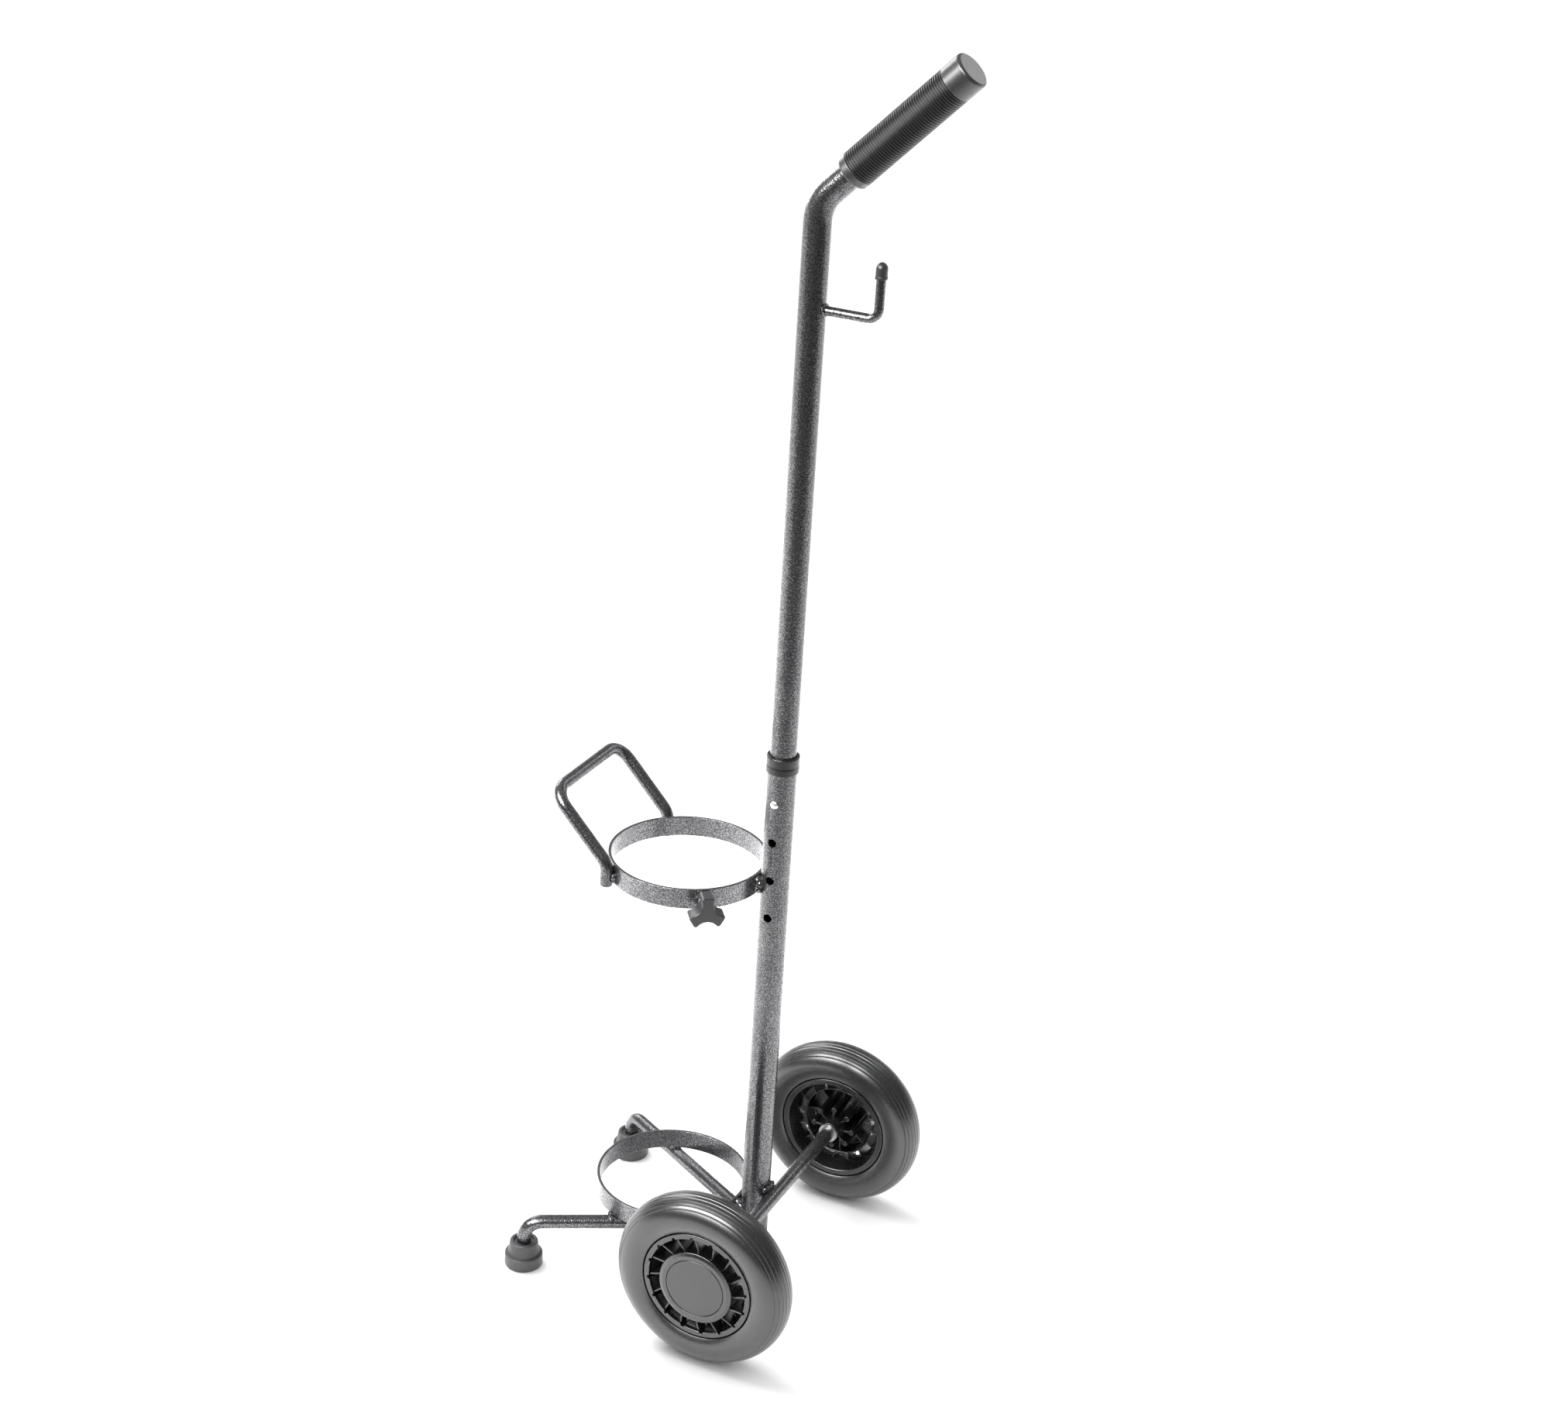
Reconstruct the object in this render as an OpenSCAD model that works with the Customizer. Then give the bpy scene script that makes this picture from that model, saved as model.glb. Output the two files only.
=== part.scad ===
// Trolley for one gas cylinder: two hoops, a V of legs, two wheels and a telescopic push handle.
// Units are millimetres. X runs along the axle, minus Y is ahead of the trolley, Z is up.
// The floor is at Z 0, and the origin lies under the middle of the part's box.

/* [Push handle tube] */
// Outer diameter of the sliding upper tube
upper_tube_d = 25; // [20:0.5:30]
// Wall of the upper tube
upper_tube_wall = 1.5; // [1:0.1:2.5]
// Height of the upper tube's lower end, inside the lower tube
upper_tube_foot_z = 492; // [490:1:510]
// Height where the upright and the slanting centre lines meet
bend_corner_z = 1089; // [1000:1:1180]
// Centre line radius of the bend below the grip
mast_bend_r = 40; // [30:1:60]
// Slant of the grip away from upright, in degrees
grip_slant = 45; // [30:1:60]

/* [Bends] */
// How much less the radius of a rod or tube is in its bends, where it draws in
bend_draw = 0.05; // [0.03:0.01:0.2]

/* [Grip] */
// Distance along the slant from the bend's corner to the grip
grip_start = 41; // [35:1:60]
// Outer diameter of the grip
grip_d = 34; // [30:0.5:42]
// Length of the plain band at the grip's lower end
grip_flange_l = 8; // [4:0.5:14]
// Number of ribs around the grip
grip_ribs = 45; // [20:1:60]
// Distance from one rib to the next
grip_rib_pitch = 2.5; // [2:0.1:4]
// Depth of the grooves between the ribs
grip_rib_depth = 0.9; // [0.4:0.1:1.5]
// Length of the plain closed end
grip_end_l = 21; // [12:1:40]
// Thickness of the grip's closed end
grip_end_wall = 5; // [3:0.5:10]
// Radius of the closed end's rounded edge
grip_edge = 2.7; // [1:0.1:5]

/* [Lower mast] */
// Wall of the lower tube
lower_tube_wall = 1.4; // [1:0.1:2.5]
// Radial play between the two tubes
slide_play = 0.08; // [0.02:0.01:0.1]
// Height of the lower tube's lower end
lower_tube_foot_z = 38; // [30:1:45]
// Height of the lower tube's upper end
lower_tube_top_z = 568; // [550:1:640]
// Wall of the collar around the lower tube's upper end
collar_wall = 1.8; // [1.2:0.1:3]
// Height of the collar
collar_h = 16.5; // [10:0.5:24]
// Thickness of the collar's lip above the tube's end
collar_lip = 3; // [2:0.5:5]
// Thickness of the bottom plug's flange
plug_flange = 3; // [2:0.5:5]
// Depth of the bottom plug inside the tube
plug_depth = 12; // [6:1:20]

/* [Height setting] */
// Height of the top hole in the lower tube
top_hole_z = 524; // [500:1:540]
// Distance from one hole to the next
hole_pitch = 40; // [25:1:50]
// Number of holes
hole_count = 4; // [2:1:5]
// Diameter of the holes in the lower tube
hole_d = 8.6; // [8.3:0.1:10]
// Diameter of the snap button
button_d = 8; // [6:0.5:9]
// Radial play of the snap button in the upper tube
button_play = 0.08; // [0.02:0.01:0.1]
// Height of the button's dome, all of which stands out of the lower tube
button_dome = 1.8; // [1:0.1:3]
// Width of the snap button's inner flange, all round
button_flange = 1; // [0.5:0.1:1.5]
// Thickness of the inner flange
button_flange_t = 1.2; // [0.8:0.1:2]
// Width of the spring strip
spring_w = 7; // [4:0.5:9]
// Thickness of the spring strip
spring_t = 0.8; // [0.5:0.1:1.2]
// Height of the spring's bend above the button
spring_rise = 52; // [30:1:70]

/* [Hoops] */
// Inner diameter of both hoops
hoop_inner_d = 148; // [120:1:170]
// Thickness of the flat bar
band_t = 3; // [2:0.5:5]
// Height of the flat bar
band_h = 20; // [15:1:30]
// Height of the upper hoop's lower edge
upper_hoop_z = 423.5; // [380:0.5:435]
// Height of the lower hoop's lower edge
lower_hoop_z = 58; // [55:0.5:80]
// Gap between a hoop and the mast, closed by the welds
hoop_gap = 2; // [0.5:0.5:4]

/* [Carrying handle] */
// Diameter of the rod
handle_rod_d = 12.5; // [10:0.5:14]
// Angle of its two ends around the hoop, from straight ahead
handle_angle = 49; // [35:1:60]
// Length of each end below the hoop
handle_foot = 3; // [1:0.5:6]
// Distance of the bar ahead of its two ends
handle_ahead = 58.7; // [40:0.1:80]
// Height of the bar above the upper hoop's upper edge
handle_rise = 61.5; // [40:0.1:90]
// Bend radius beside the hoop
handle_low_bend_r = 20; // [14:1:24]
// Bend radius at the bar's ends
handle_top_bend_r = 19; // [14:1:24]
// Chamfer on the rod's ends
rod_chamfer = 1.5; // [0.5:0.1:2.5]

/* [Legs and feet] */
// Diameter of the leg rods
leg_d = 14; // [10:0.5:16]
// Distance of each foot from the middle plane
foot_x = 113.4; // [95:0.1:130]
// Distance of the feet ahead of the mast
foot_ahead = 200; // [185:1:230]
// Gap between the lower hoop and the legs, closed by the welds
leg_gap = 0.8; // [0.6:0.1:1.2]
// Fall of a leg from the mast to its foot
leg_fall = 1.7; // [0:0.1:3]
// Bend radius above the foot
leg_bend_r = 18; // [14:1:20]
// Diameter of the rubber foot's base
foot_base_d = 38; // [32:0.5:46]
// Height of the foot's base
foot_base_h = 13; // [8:0.5:16]
// Diameter of the foot's cone above the base
foot_cone_d = 32; // [30:0.5:37]
// Diameter of the foot's top
foot_top_d = 29.5; // [26:0.5:32]
// Height of the foot
foot_h = 27; // [22:0.5:29]
// Rubber below the rod's end
foot_floor = 6; // [4:0.5:10]
// Depth of the dished top around the rod
foot_dish = 2; // [1:0.5:4]
// Chamfer on the foot's edges
foot_edge = 1.5; // [0.5:0.1:2.5]
// Wall of the foot's rim around the dish
foot_rim = 3; // [2:0.5:5]

/* [Axle] */
// Diameter of the axle bar
axle_d = 14; // [13:0.5:18]
// Diameter of the turned ends that carry the wheels
spigot_d = 12; // [8:0.5:12.5]
// Radial play of the wheels on the axle
wheel_play = 0.05; // [0.02:0.01:0.1]
// Gap between the axle and the mast, closed by the welds
axle_gap = 0.5; // [0.3:0.1:2]
// Diameter of the washers
washer_d = 20; // [18:0.5:24]
// Thickness of the washers
washer_t = 2; // [1:0.5:3]
// End play of a wheel at each side of its hub
end_play = 0.3; // [0.1:0.1:0.6]
// Thickness of the push-on clips
clip_t = 1.2; // [0.8:0.1:2]
// Diameter of the push-on clips
clip_d = 19; // [16:0.5:20]
// Length of the axle beyond its clip
axle_tip = 2.5; // [1:0.5:3]

/* [Wheels] */
// Outer diameter of the tyres
wheel_d = 180; // [170:1:200]
// Width of the tyres
tyre_w = 42; // [39:1:44]
// Distance between the wheels' middle planes
track = 312; // [290:1:360]
// Height of the tyre over the rim's flanges
tyre_h = 34; // [30:1:35]
// Distance between the outer faces of the two flanges
rim_w = 35; // [30:0.5:36]
// Thickness of the flanges
flange_t = 3; // [2:0.5:4]
// Height of the flanges over the tyre's seat
flange_h = 3; // [2:0.5:4]
// Width of the flange's face ring outside the slots
face_ring_w = 5.5; // [4:0.5:7]
// Depth of the face ring's inner edge
face_ring_t = 4.5; // [3.5:0.5:7]
// Inner diameter of the barrel at its waist
waist_d = 93; // [88:0.5:96]
// Width of the barrel's waist
waist_w = 6; // [2:0.5:10]
// Width of the groove between tyre and flange
seam_w = 0.8; // [0.4:0.1:1.5]
// Depth of the groove between tyre and flange
seam_depth = 3; // [1:0.5:4]
// Number of slots around the hub
slot_count = 16; // [12:1:20]
// Thickness of the ribs between the slots
slot_rib_t = 1.4; // [1:0.1:2]
// Depth of these ribs' outer edges below the face ring
slot_rib_recess = 3; // [0.5:0.5:6]
// Length of these ribs along the axle
slot_rib_depth = 14; // [6:0.5:15]
// Slant of these ribs from the radius, in degrees
slot_rib_slant = 18; // [0:1:24]
// Width of the notch at the end of each rib
notch_w = 3.2; // [2:0.1:4]
// Angle from the rib's root to its notch, around the wheel
notch_turn = 8; // [6:0.5:12]
// Depth of the notch below the face ring
notch_t = 3.5; // [2:0.5:4]
// Depth of the notch into the face ring
notch_depth = 2.2; // [1:0.1:3]
// Diameter of the hub disc
disc_d = 76; // [70:1:80]
// Width of the slanting edge of the hub disc
disc_bevel = 3.6; // [1:0.1:5]
// Distance of the hub disc's inner edge from the middle plane, inwards
disc_skirt_in = 3; // [0.5:0.5:6]
// Wall of the hub disc and its skirt
disc_wall = 3; // [1.5:0.5:4]
// Height of the hub disc's outer face over the flange
disc_proud = 4; // [2:0.5:6]
// Diameter of the hub cap
cap_d = 59.6; // [52:0.1:62]
// Thickness of the hub cap
cap_t = 3; // [2:0.5:4]
// Gap around the hub cap
cap_gap = 0.4; // [0.2:0.1:0.8]
// Wall of the hub's tube
hub_wall = 4; // [3:0.5:5]
// Distance of the hub's inner end from the middle plane
hub_inner = 27; // [24:0.5:30]
// Distance from the middle plane where the hub's tube starts to taper, inwards
hub_taper_at = 15; // [12:0.5:16.5]
// Distance of the hub's bearing end from the middle plane, outwards
hub_outer = 9; // [6:0.5:10]
// Diameter of the pocket around the clip
pocket_d = 21; // [20:0.5:24]
// Number of webs behind the hub disc
web_count = 8; // [6:1:10]
// Thickness of these webs
web_t = 1.6; // [1:0.1:2.5]
// Depth of these webs behind the hub disc, outside the bosses
web_h = 8; // [4:0.5:12]
// Radius of the circle of bosses at the webs' ends
boss_ring_r = 21; // [18:0.5:24]
// Diameter of the bosses
boss_d = 6; // [4:0.5:8]
// Number of fine grooves around the tread
tread_grooves = 10; // [4:1:12]
// Distance from one tread groove to the next, in degrees around the tyre's section
tread_step = 11.5; // [6:0.5:12]
// Depth of a tread groove, which is twice as wide
tread_groove_depth = 0.6; // [0.3:0.1:1]

/* [Clamp screw] */
// Angle of the clamp around the hoop, from the X axis to the rear
clamp_angle = 37; // [20:1:50]
// Diameter of the stud
stud_d = 8; // [6:0.5:10]
// Radial play of the stud in its nut
stud_play = 0.05; // [0.02:0.01:0.1]
// Width of the welded nut across its flats
nut_af = 13; // [12:0.5:17]
// Height of the welded nut
nut_h = 4; // [3:0.5:6]
// Distance from the hoop to the knob
knob_standoff = 12; // [10:0.5:20]
// Thickness of the knob's lobes
knob_t = 16; // [10:0.5:20]
// Radius at the ends of the knob's lobes
knob_r = 17; // [15:0.5:24]
// Width of a lobe at its end
lobe_w = 10; // [8:0.5:14]
// Radius of the hollows between the lobes
hollow_r = 30; // [24:1:40]
// Least radius from the knob's middle to a hollow
knob_waist_r = 10.5; // [8:0.5:11.5]
// Diameter of the neck behind the lobes
neck_d = 14; // [12:0.5:16]
// Length of the neck
neck_l = 3; // [2:0.5:6]
// Length of the soft tip on the stud
tip_l = 4; // [2:0.5:6]
// Depth of the tip behind the hoop's inner wall, fully open
tip_set_back = 0.3; // [0.1:0.1:1]

/* [Bag hook] */
// Diameter of the hook's rod
hook_rod_d = 8.5; // [6:0.5:9.5]
// Height of the hook's arm
hook_z = 996.5; // [900:0.5:1020]
// Distance of the upright part behind the mast
hook_behind = 62.4; // [40:0.1:80]
// Height of the rod's end over the arm
hook_rise = 45; // [30:1:60]
// Bend radius of the hook
hook_bend_r = 10; // [8:1:16]
// Outer diameter of the hook's end cap
hook_cap_d = 11.2; // [10.5:0.1:14]
// Length of the end cap over the rod
hook_cap_l = 9; // [6:0.5:16]

/* [Welds] */
// Radius of the beads between hoop and mast
hoop_bead_r = 4; // [3:0.5:5]
// Radius of the lumps where legs, hoop and mast meet
leg_bead_r = 8; // [7:0.5:9]
// Depth of these lumps below the lower hoop, where the cylinder goes in
lump_drop = 1.5; // [1:0.1:2.5]
// Depth of these lumps' middles below the lower hoop
lump_sink = 3; // [1:0.5:5]
// Radius of the beads along the axle
axle_bead_r = 3.5; // [2.5:0.5:5]
// Length of the beads along the axle
axle_bead_l = 17; // [10:1:24]
// Radius of the beads beside the carrying handle's ends
handle_bead_r = 3; // [2:0.5:4]
// Radius of the bead around the hook
hook_bead_r = 2.2; // [1.5:0.1:3]

/* [Hidden] */
$fn = 128;
hoop_fn = 360;
cut = 1;
// Length that a bend runs on inside the straights beside it
bend_lap = 0.5;
upper_r = upper_tube_d / 2;
lower_bore_r = upper_r + slide_play;
lower_r = lower_bore_r + lower_tube_wall;
grip_l = grip_flange_l + grip_ribs * grip_rib_pitch + grip_end_l;
grip_end = grip_start + grip_l;
hoop_r = hoop_inner_d / 2 + band_t;
// The part reaches ahead to the feet and back to the grip, and the mast stands between
front_reach = foot_ahead + foot_base_d / 2;
grip_edge_run = grip_end - grip_edge;
grip_edge_r = grip_d / 2 - grip_edge;
rear_reach = grip_edge_run * sin(grip_slant) + grip_edge_r * cos(grip_slant) + grip_edge;
mast_y = round(5 * (front_reach - rear_reach)) / 10;
hoop_y = mast_y - lower_r - hoop_gap - hoop_r;
leg_reach = norm([foot_x, foot_ahead]);
leg_rear_z = lower_hoop_z - leg_gap - leg_d / 2;
leg_front_z = leg_rear_z - leg_fall;
axle_y = mast_y + lower_r + axle_gap + axle_d / 2;
axle_z = wheel_d / 2;
wheel_x = track / 2;
spigot_r = spigot_d / 2;
hub_r = spigot_r + hub_wall;
shoulder_x = wheel_x - hub_inner - end_play - washer_t;
clip_x = wheel_x + hub_outer + end_play;
axle_end_x = clip_x + clip_t + axle_tip;
tyre_r = tyre_w / 2;
tyre_ring_r = wheel_d / 2 - tyre_r;
rim_r = wheel_d / 2 - tyre_h;
seat_r = rim_r - flange_h;
face_t = rim_w / 2;
slot_r = rim_r - face_ring_w;
disc_r = disc_d / 2;
disc_face_t = face_t + disc_proud;
disc_back_t = disc_face_t - cap_t - disc_wall;
cap_r = cap_d / 2;
pocket_r = pocket_d / 2;
clamp_z = upper_hoop_z + band_h / 2;
stud_r = stud_d / 2;
stud_tip = hoop_inner_d / 2 + tip_set_back;
knob_back = hoop_r + knob_standoff;
handle_r = handle_rod_d / 2;
handle_x = (hoop_r + handle_r) * sin(handle_angle);
handle_y = hoop_y - (hoop_r + handle_r) * cos(handle_angle);
upper_hoop_top = upper_hoop_z + band_h;
// The weld stops where the rod starts to bend away from the hoop
handle_weld_h = band_h - tangent(atan2(handle_ahead, handle_rise), handle_low_bend_r) - rod_chamfer;
button_r = button_d / 2;
button_flange_r = button_r + button_flange;
upper_bore_r = upper_r - upper_tube_wall;
// The flange's edge follows the tube's bore, so its face lies inside the chord of that width
button_face_x = sqrt(pow(upper_bore_r, 2) - pow(button_flange_r, 2)) - slide_play;
button_back_x = button_face_x - button_flange_t;

// Colours
module painted() { color([0.45, 0.46, 0.48]) children(); }
module black_plastic() { color([0.06, 0.06, 0.07]) children(); }
module grey_plastic() { color([0.32, 0.33, 0.35]) children(); }
module grey_rubber() { color([0.25, 0.26, 0.28]) children(); }
module bright_metal() { color([0.8, 0.8, 0.82]) children(); }

// Bent rods: each step is a straight length, then a roll, a turn and the turn's centre line radius
function tangent(turn, bend) = bend * tan(turn / 2);

module rod_bend(turn, bend, r) {
    lap = bend_lap / bend * 180 / PI;
    translate([bend, 0, 0]) rotate([90, 0, 180]) rotate(-lap) rotate_extrude(angle = turn + 2 * lap)
        translate([bend, 0]) circle(r = r - bend_draw);
}

module rod_run(steps, r, chamfer = 0, i = 0) {
    step = steps[i];
    cylinder(r = r, h = step[0]);
    translate([0, 0, step[0]])
        if (i < len(steps) - 1)
            rotate(step[1]) {
                rod_bend(step[2], step[3], r);
                translate([step[3], 0, 0]) rotate([0, step[2], 0]) translate([-step[3], 0, 0])
                    rod_run(steps, r, chamfer, i + 1);
            }
        else if (chamfer > 0)
            cylinder(r1 = r, r2 = r - chamfer, h = chamfer);
}

// Solids that other pieces are cut to fit
module mast_solid() {
    translate([0, mast_y, lower_tube_foot_z])
        cylinder(r = lower_r, h = lower_tube_top_z - lower_tube_foot_z);
}

module hoop_band(z) {
    translate([0, hoop_y, z]) difference() {
        cylinder(r = hoop_r, h = band_h, $fn = hoop_fn);
        translate([0, 0, -cut]) cylinder(d = hoop_inner_d, h = band_h + 2 * cut, $fn = hoop_fn);
    }
}

module hoop_solid(z) {
    translate([0, hoop_y, z]) cylinder(r = hoop_r, h = band_h, $fn = hoop_fn);
}

module clamp_axis() {
    translate([0, hoop_y, clamp_z]) rotate([0, 90, clamp_angle]) children();
}

// Lower mast
module lower_mast() {
    painted() difference() {
        mast_solid();
        translate([0, mast_y, lower_tube_foot_z - cut])
            cylinder(r = lower_bore_r, h = lower_tube_top_z - lower_tube_foot_z + 2 * cut);
        for (i = [0 : hole_count - 1])
            translate([0, mast_y, top_hole_z - i * hole_pitch]) rotate([0, 90, 0])
                cylinder(d = hole_d, h = lower_r + cut);
    }
}

module mast_collar() {
    skirt_z = collar_lip - collar_h;
    outer = lower_r + collar_wall;
    chamfer = collar_wall / 2;
    black_plastic() translate([0, mast_y, lower_tube_top_z]) rotate_extrude() polygon([
        [lower_r, skirt_z], [outer, skirt_z], [outer, collar_lip - chamfer],
        [outer - chamfer, collar_lip], [lower_bore_r, collar_lip], [lower_bore_r, 0], [lower_r, 0]
    ]);
}

module mast_plug() {
    black_plastic() translate([0, mast_y, lower_tube_foot_z]) {
        cylinder(r = lower_bore_r, h = plug_depth);
        translate([0, 0, -plug_flange]) cylinder(r = lower_r, h = plug_flange);
    }
}

// Hoops and what is welded to them
module upper_hoop() {
    painted() difference() {
        hoop_band(upper_hoop_z);
        clamp_axis() cylinder(r = stud_r + stud_play, h = hoop_r + cut);
    }
}

module lower_hoop() {
    painted() hoop_band(lower_hoop_z);
}

module carrying_handle() {
    lean = atan2(handle_ahead, handle_rise);
    low_cut = tangent(lean, handle_low_bend_r);
    slope_l = norm([handle_ahead, handle_rise]) - handle_top_bend_r - low_cut;
    painted() for (side = [0, 1]) mirror([side, 0, 0])
        translate([0, handle_y - handle_ahead, upper_hoop_top + handle_rise]) rotate([0, 90, 0])
            rod_run([
                [handle_x - handle_top_bend_r, lean, 90, handle_top_bend_r],
                [slope_l, -90, lean, handle_low_bend_r],
                [band_h + handle_foot - rod_chamfer - low_cut]
            ], handle_r, rod_chamfer);
}

module handle_welds() {
    along_hoop = handle_r / (hoop_r + handle_r) * 180 / PI;
    painted() difference() {
        for (side = [-1, 1], step = [-1, 1])
            translate([0, hoop_y, upper_hoop_z + rod_chamfer])
                rotate(side * (handle_angle + step * along_hoop) - 90)
                    translate([hoop_r + handle_bead_r / 2, 0, 0])
                        cylinder(r = handle_bead_r, h = handle_weld_h);
        hoop_solid(upper_hoop_z);
        for (side = [-1, 1])
            translate([side * handle_x, handle_y, upper_hoop_z - cut])
                cylinder(r = handle_r, h = band_h + 2 * cut);
    }
}

module hoop_welds() {
    bead_x = hoop_bead_r + band_t;
    painted() difference() {
        for (z = [upper_hoop_z, lower_hoop_z], side = [-1, 1])
            translate([side * bead_x, mast_y - lower_r - hoop_gap / 2, z + rod_chamfer])
                cylinder(r = hoop_bead_r, h = band_h - 2 * rod_chamfer);
        mast_solid();
        for (z = [upper_hoop_z, lower_hoop_z]) hoop_solid(z);
    }
}

// Legs and feet
module leg_rod(side) {
    drop = atan2(leg_rear_z - leg_front_z, leg_reach);
    turn = 90 - drop;
    bend_cut = tangent(turn, leg_bend_r);
    translate([0, mast_y, leg_rear_z]) rotate([0, 90 + drop, atan2(-foot_ahead, side * foot_x)])
        rod_run([
            [norm([leg_reach, leg_rear_z - leg_front_z]) - bend_cut, 0, turn, leg_bend_r],
            [leg_front_z - foot_floor - bend_cut]
        ], leg_d / 2);
}

module leg(side) {
    painted() difference() {
        leg_rod(side);
        mast_solid();
    }
}

module left_leg() { leg(1); }
module right_leg() { leg(-1); }

module leg_welds() {
    // Where a leg passes under the front of the lower hoop
    ahead = mast_y - hoop_y;
    towards = ahead * foot_ahead / leg_reach;
    crossing = towards + sqrt(pow(hoop_r - band_t / 2, 2) - pow(ahead, 2) + pow(towards, 2));
    painted() difference() {
        for (side = [-1, 1], run = [lower_r + leg_bead_r / 2, crossing])
            translate([side * foot_x * run / leg_reach, mast_y - foot_ahead * run / leg_reach,
                lower_hoop_z - lump_sink]) sphere(r = leg_bead_r);
        mast_solid();
        hoop_band(lower_hoop_z);
        translate([0, hoop_y, lower_hoop_z - lump_drop])
            cylinder(r = hoop_inner_d / 2 + leg_gap, h = lump_drop + leg_bead_r + cut);
        for (side = [-1, 1]) leg_rod(side);
        hoop_welds();
    }
}

module foot(side) {
    top_r = foot_top_d / 2;
    grey_rubber() translate([side * foot_x, mast_y - foot_ahead, 0]) difference() {
        rotate_extrude() polygon([
            [0, 0], [foot_base_d / 2 - foot_edge, 0], [foot_base_d / 2, foot_edge],
            [foot_base_d / 2, foot_base_h - foot_edge / 2],
            [foot_base_d / 2 - foot_edge / 2, foot_base_h],
            [foot_cone_d / 2, foot_base_h], [top_r, foot_h - foot_edge], [top_r - foot_edge, foot_h],
            [top_r - foot_rim, foot_h], [top_r - foot_rim, foot_h - foot_dish], [0, foot_h - foot_dish]
        ]);
        translate([0, 0, foot_floor]) cylinder(d = leg_d, h = foot_h);
    }
}

module left_foot() { foot(1); }
module right_foot() { foot(-1); }

// Axle and what holds the wheels on it
module axle() {
    painted() translate([0, axle_y, axle_z]) rotate([0, 90, 0]) {
        translate([0, 0, -shoulder_x]) cylinder(d = axle_d, h = 2 * shoulder_x);
        translate([0, 0, -axle_end_x]) cylinder(r = spigot_r, h = 2 * axle_end_x);
    }
}

module on_axle(side) {
    translate([0, axle_y, axle_z]) rotate([0, side * 90, 0]) children();
}

module axle_ring(side, from, d, h) {
    bright_metal() on_axle(side) translate([0, 0, from]) difference() {
        cylinder(d = d, h = h);
        translate([0, 0, -cut]) cylinder(r = spigot_r, h = h + 2 * cut);
    }
}

module left_washer() { axle_ring(1, shoulder_x, washer_d, washer_t); }
module right_washer() { axle_ring(-1, shoulder_x, washer_d, washer_t); }
module left_clip() { axle_ring(1, clip_x, clip_d, clip_t); }
module right_clip() { axle_ring(-1, clip_x, clip_d, clip_t); }

module axle_welds() {
    painted() difference() {
        for (step = [-1, 1])
            translate([-axle_bead_l / 2, axle_y - axle_d / 2, axle_z + step * axle_d / 2]) rotate([0, 90, 0])
                cylinder(r = axle_bead_r, h = axle_bead_l);
        mast_solid();
        on_axle(1) translate([0, 0, -axle_bead_l]) cylinder(d = axle_d, h = 2 * axle_bead_l);
    }
}

// Wheels, drawn about Z with the outer side up
module at_wheel(side) {
    on_axle(side) translate([0, 0, wheel_x]) children();
}

module tyre(side) {
    grey_rubber() at_wheel(side) rotate_extrude() difference() {
        translate([tyre_ring_r, 0]) circle(r = tyre_r);
        translate([0, -tyre_r - cut]) square([seat_r, 2 * (tyre_r + cut)]);
        for (step = [-1, 1])
            translate([0, step > 0 ? face_t - flange_t : -tyre_r - cut])
                square([rim_r, tyre_r + cut - face_t + flange_t]);
        for (step = [-1, 1])
            translate([0, step > 0 ? face_t - seam_depth : -tyre_r - cut])
                square([rim_r + seam_w, tyre_r + cut - face_t + seam_depth]);
        for (i = [0 : tread_grooves - 1])
            translate([tyre_ring_r, 0]) rotate((i - (tread_grooves - 1) / 2) * tread_step)
                translate([tyre_r, 0]) circle(r = tread_groove_depth, $fn = 4);
    }
}

module rim_barrel() {
    waist_r = waist_d / 2;
    rotate_extrude() polygon([
        [seat_r, flange_t - face_t], [rim_r, flange_t - face_t], [rim_r, -face_t], [slot_r, -face_t],
        [waist_r, -waist_w / 2], [waist_r, waist_w / 2], [slot_r, face_t - face_ring_t], [slot_r, face_t],
        [rim_r, face_t], [rim_r, face_t - flange_t], [seat_r, face_t - flange_t]
    ]);
}

module rim_hub() {
    skirt_r = disc_r - disc_wall / 2;
    recess_r = cap_r + cap_gap;
    bore_r = spigot_r + wheel_play;
    tube_r = pocket_r + disc_wall;
    rotate_extrude() polygon([
        [bore_r, -hub_inner], [hub_r, -hub_inner], [tube_r, -hub_taper_at], [tube_r, disc_back_t],
        [skirt_r, disc_back_t], [skirt_r, -disc_skirt_in], [disc_r, -disc_skirt_in],
        [disc_r, disc_face_t - disc_bevel], [disc_r - disc_bevel, disc_face_t], [recess_r, disc_face_t],
        [recess_r, disc_face_t - cap_t], [pocket_r, disc_face_t - cap_t], [pocket_r, hub_outer],
        [bore_r, hub_outer]
    ]);
}

module rim_ribs() {
    // Each rib starts and ends inside the walls that it joins
    sink = disc_wall / 2;
    root_r = disc_r - sink / 2;
    web_root = pocket_r + sink;
    web_top = disc_back_t + sink;
    for (i = [0 : slot_count - 1])
        rotate(i * 360 / slot_count) translate([root_r, 0, 0]) rotate(slot_rib_slant)
            translate([0, -slot_rib_t / 2, face_t - slot_rib_recess - slot_rib_depth])
                cube([slot_r + sink - root_r, slot_rib_t, slot_rib_depth]);
    for (i = [0 : web_count - 1])
        rotate(i * 360 / web_count) {
            translate([web_root, -web_t / 2, disc_back_t - web_h])
                cube([root_r - web_root, web_t, web_h + sink]);
            translate([web_root, -web_t / 2, -face_t])
                cube([boss_ring_r - web_root, web_t, face_t + web_top]);
            translate([boss_ring_r, 0, -face_t]) cylinder(d = boss_d, h = face_t + web_top);
        }
}

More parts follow.
